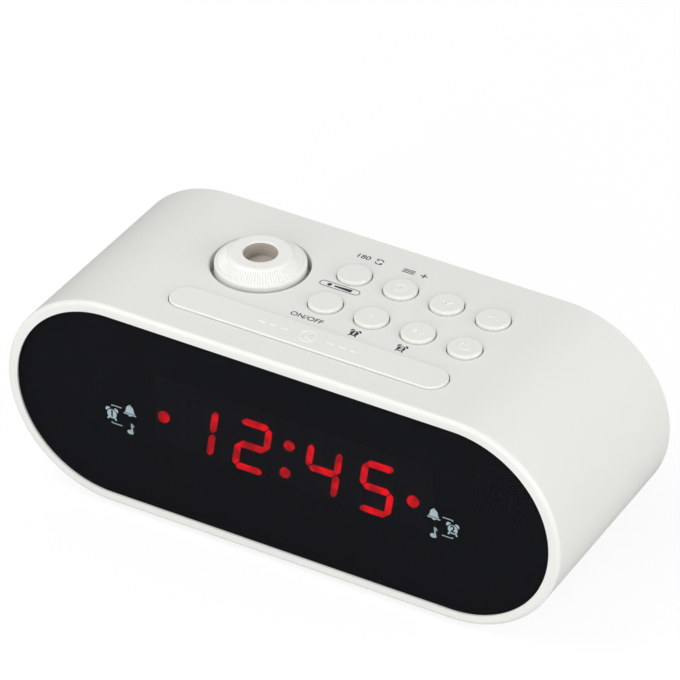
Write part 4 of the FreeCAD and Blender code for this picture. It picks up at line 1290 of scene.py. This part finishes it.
@dataclass
class Studio:
    """Camera, lamps, floor and background."""

    camera_place: Triple = (0.6148, -1.07045, 0.9133)
    azimuth: float = 29.85
    elevation: float = 34.96
    lens: float = 320.5
    sensor: float = 36.0
    far_limit: float = 20.0
    lamps: tuple[Lamp, ...] = (
        Lamp("key_lamp", (-0.55, -0.45, 1.15), 0.9, 8.8),
        Lamp("side_lamp", (1.25, 0.10, 0.45), 0.8, 8.0),
        Lamp("front_lamp", (0.15, -1.5, 0.40), 0.9, 9.5),
    )
    floor_size: float = 8.0
    cloud_scale: float = 3.0
    pale_floor: Point = (0.80, 0.83)
    dark_floor: Point = (0.06, 0.08)
    faint_floor: Point = (0.14, 0.16)
    floor_glow: float = 0.86
    sky_strength: float = 0.42

    def add_camera(self) -> None:
        """The camera at the photograph's viewing angle."""
        bpy.ops.object.camera_add(location=self.camera_place)
        camera = bpy.context.object
        camera.name = "camera"
        camera.rotation_euler = (math.radians(90 - self.elevation), 0.0, math.radians(self.azimuth))
        camera.data.lens = self.lens
        camera.data.sensor_width = self.sensor
        camera.data.clip_end = self.far_limit
        bpy.context.scene.camera = camera

    def backdrop(self) -> bpy.types.Material:
        """White to the camera, dark in mirrored faces, and a calm pale floor to the light.

        Returns:
            The floor's material.
        """
        graph = Graph("backdrop")
        path = graph.tree.nodes.new("ShaderNodeLightPath")
        rays = ("Is Camera Ray", "Is Glossy Ray", "Is Transmission Ray")
        camera, glossy, through = (Wire(graph, path.outputs[name]) for name in rays)
        cloud = graph.noise(self.cloud_scale, 2.0)
        pale, dark, faint = (
            graph.node("ShaderNodeBsdfDiffuse", {}, {"Color": graph.mix(cloud, grey(low), grey(high))})
            for low, high in (self.pale_floor, self.dark_floor, self.faint_floor)
        )
        glow = graph.node("ShaderNodeEmission", {}, {"Color": grey(1.0), "Strength": self.floor_glow})
        bright = graph.node("ShaderNodeAddShader", {}, {0: faint, 1: glow})
        lit = graph.node("ShaderNodeMixShader", {}, {0: (camera + through).clamped(), 1: pale, 2: bright})
        graph.node_output(graph.node("ShaderNodeMixShader", {}, {0: glossy, 1: lit, 2: dark}))
        return graph.material

    def add_floor(self) -> None:
        """A wide pale floor that the clock stands on."""
        bpy.ops.mesh.primitive_plane_add(size=self.floor_size, location=(0.0, 0.0, 0.0))
        floor = bpy.context.object
        floor.name = "floor"
        floor.data.materials.append(self.backdrop())

    def set_world(self) -> None:
        """An even pale sky, white to the camera."""
        world = bpy.data.worlds.new("sky")
        bpy.context.scene.world = world
        world.use_nodes = True
        back = world.node_tree.nodes["Background"]
        back.inputs["Color"].default_value = (*grey(1.0), 1.0)
        back.inputs["Strength"].default_value = self.sky_strength

    def build(self) -> None:
        """Sets the studio up."""
        self.add_camera()
        for lamp in self.lamps:
            lamp.add()
        self.add_floor()
        self.set_world()
        bpy.context.scene.view_settings.view_transform = "Standard"


@dataclass
class CadDress:
    """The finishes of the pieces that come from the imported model."""

    frame: dict

    def build(self) -> None:
        """Gives every node the finish of its material slot."""
        for entry in self.frame["record"]["subparts"]:
            node = self.frame["nodes"][entry["node"]]
            finish = Finish[entry["material_slot"].upper()]
            node.data.materials.clear()
            node.data.materials.append(finish.made())
            LOG.info("dressed %s as %s", entry["node"], finish.name.lower())


def main() -> None:
    """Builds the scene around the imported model."""
    logging.basicConfig(level=logging.INFO, format="%(name)s: %(message)s")
    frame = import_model()
    Studio().build()
    CadDress(frame).build()
    PrintedTop().build()
    ButtonMarks().build()
    WindowMarks().build()
    Figures(nodes=frame["nodes"]).build()
    LensSurround().build()


if __name__ == "__main__":
    main()
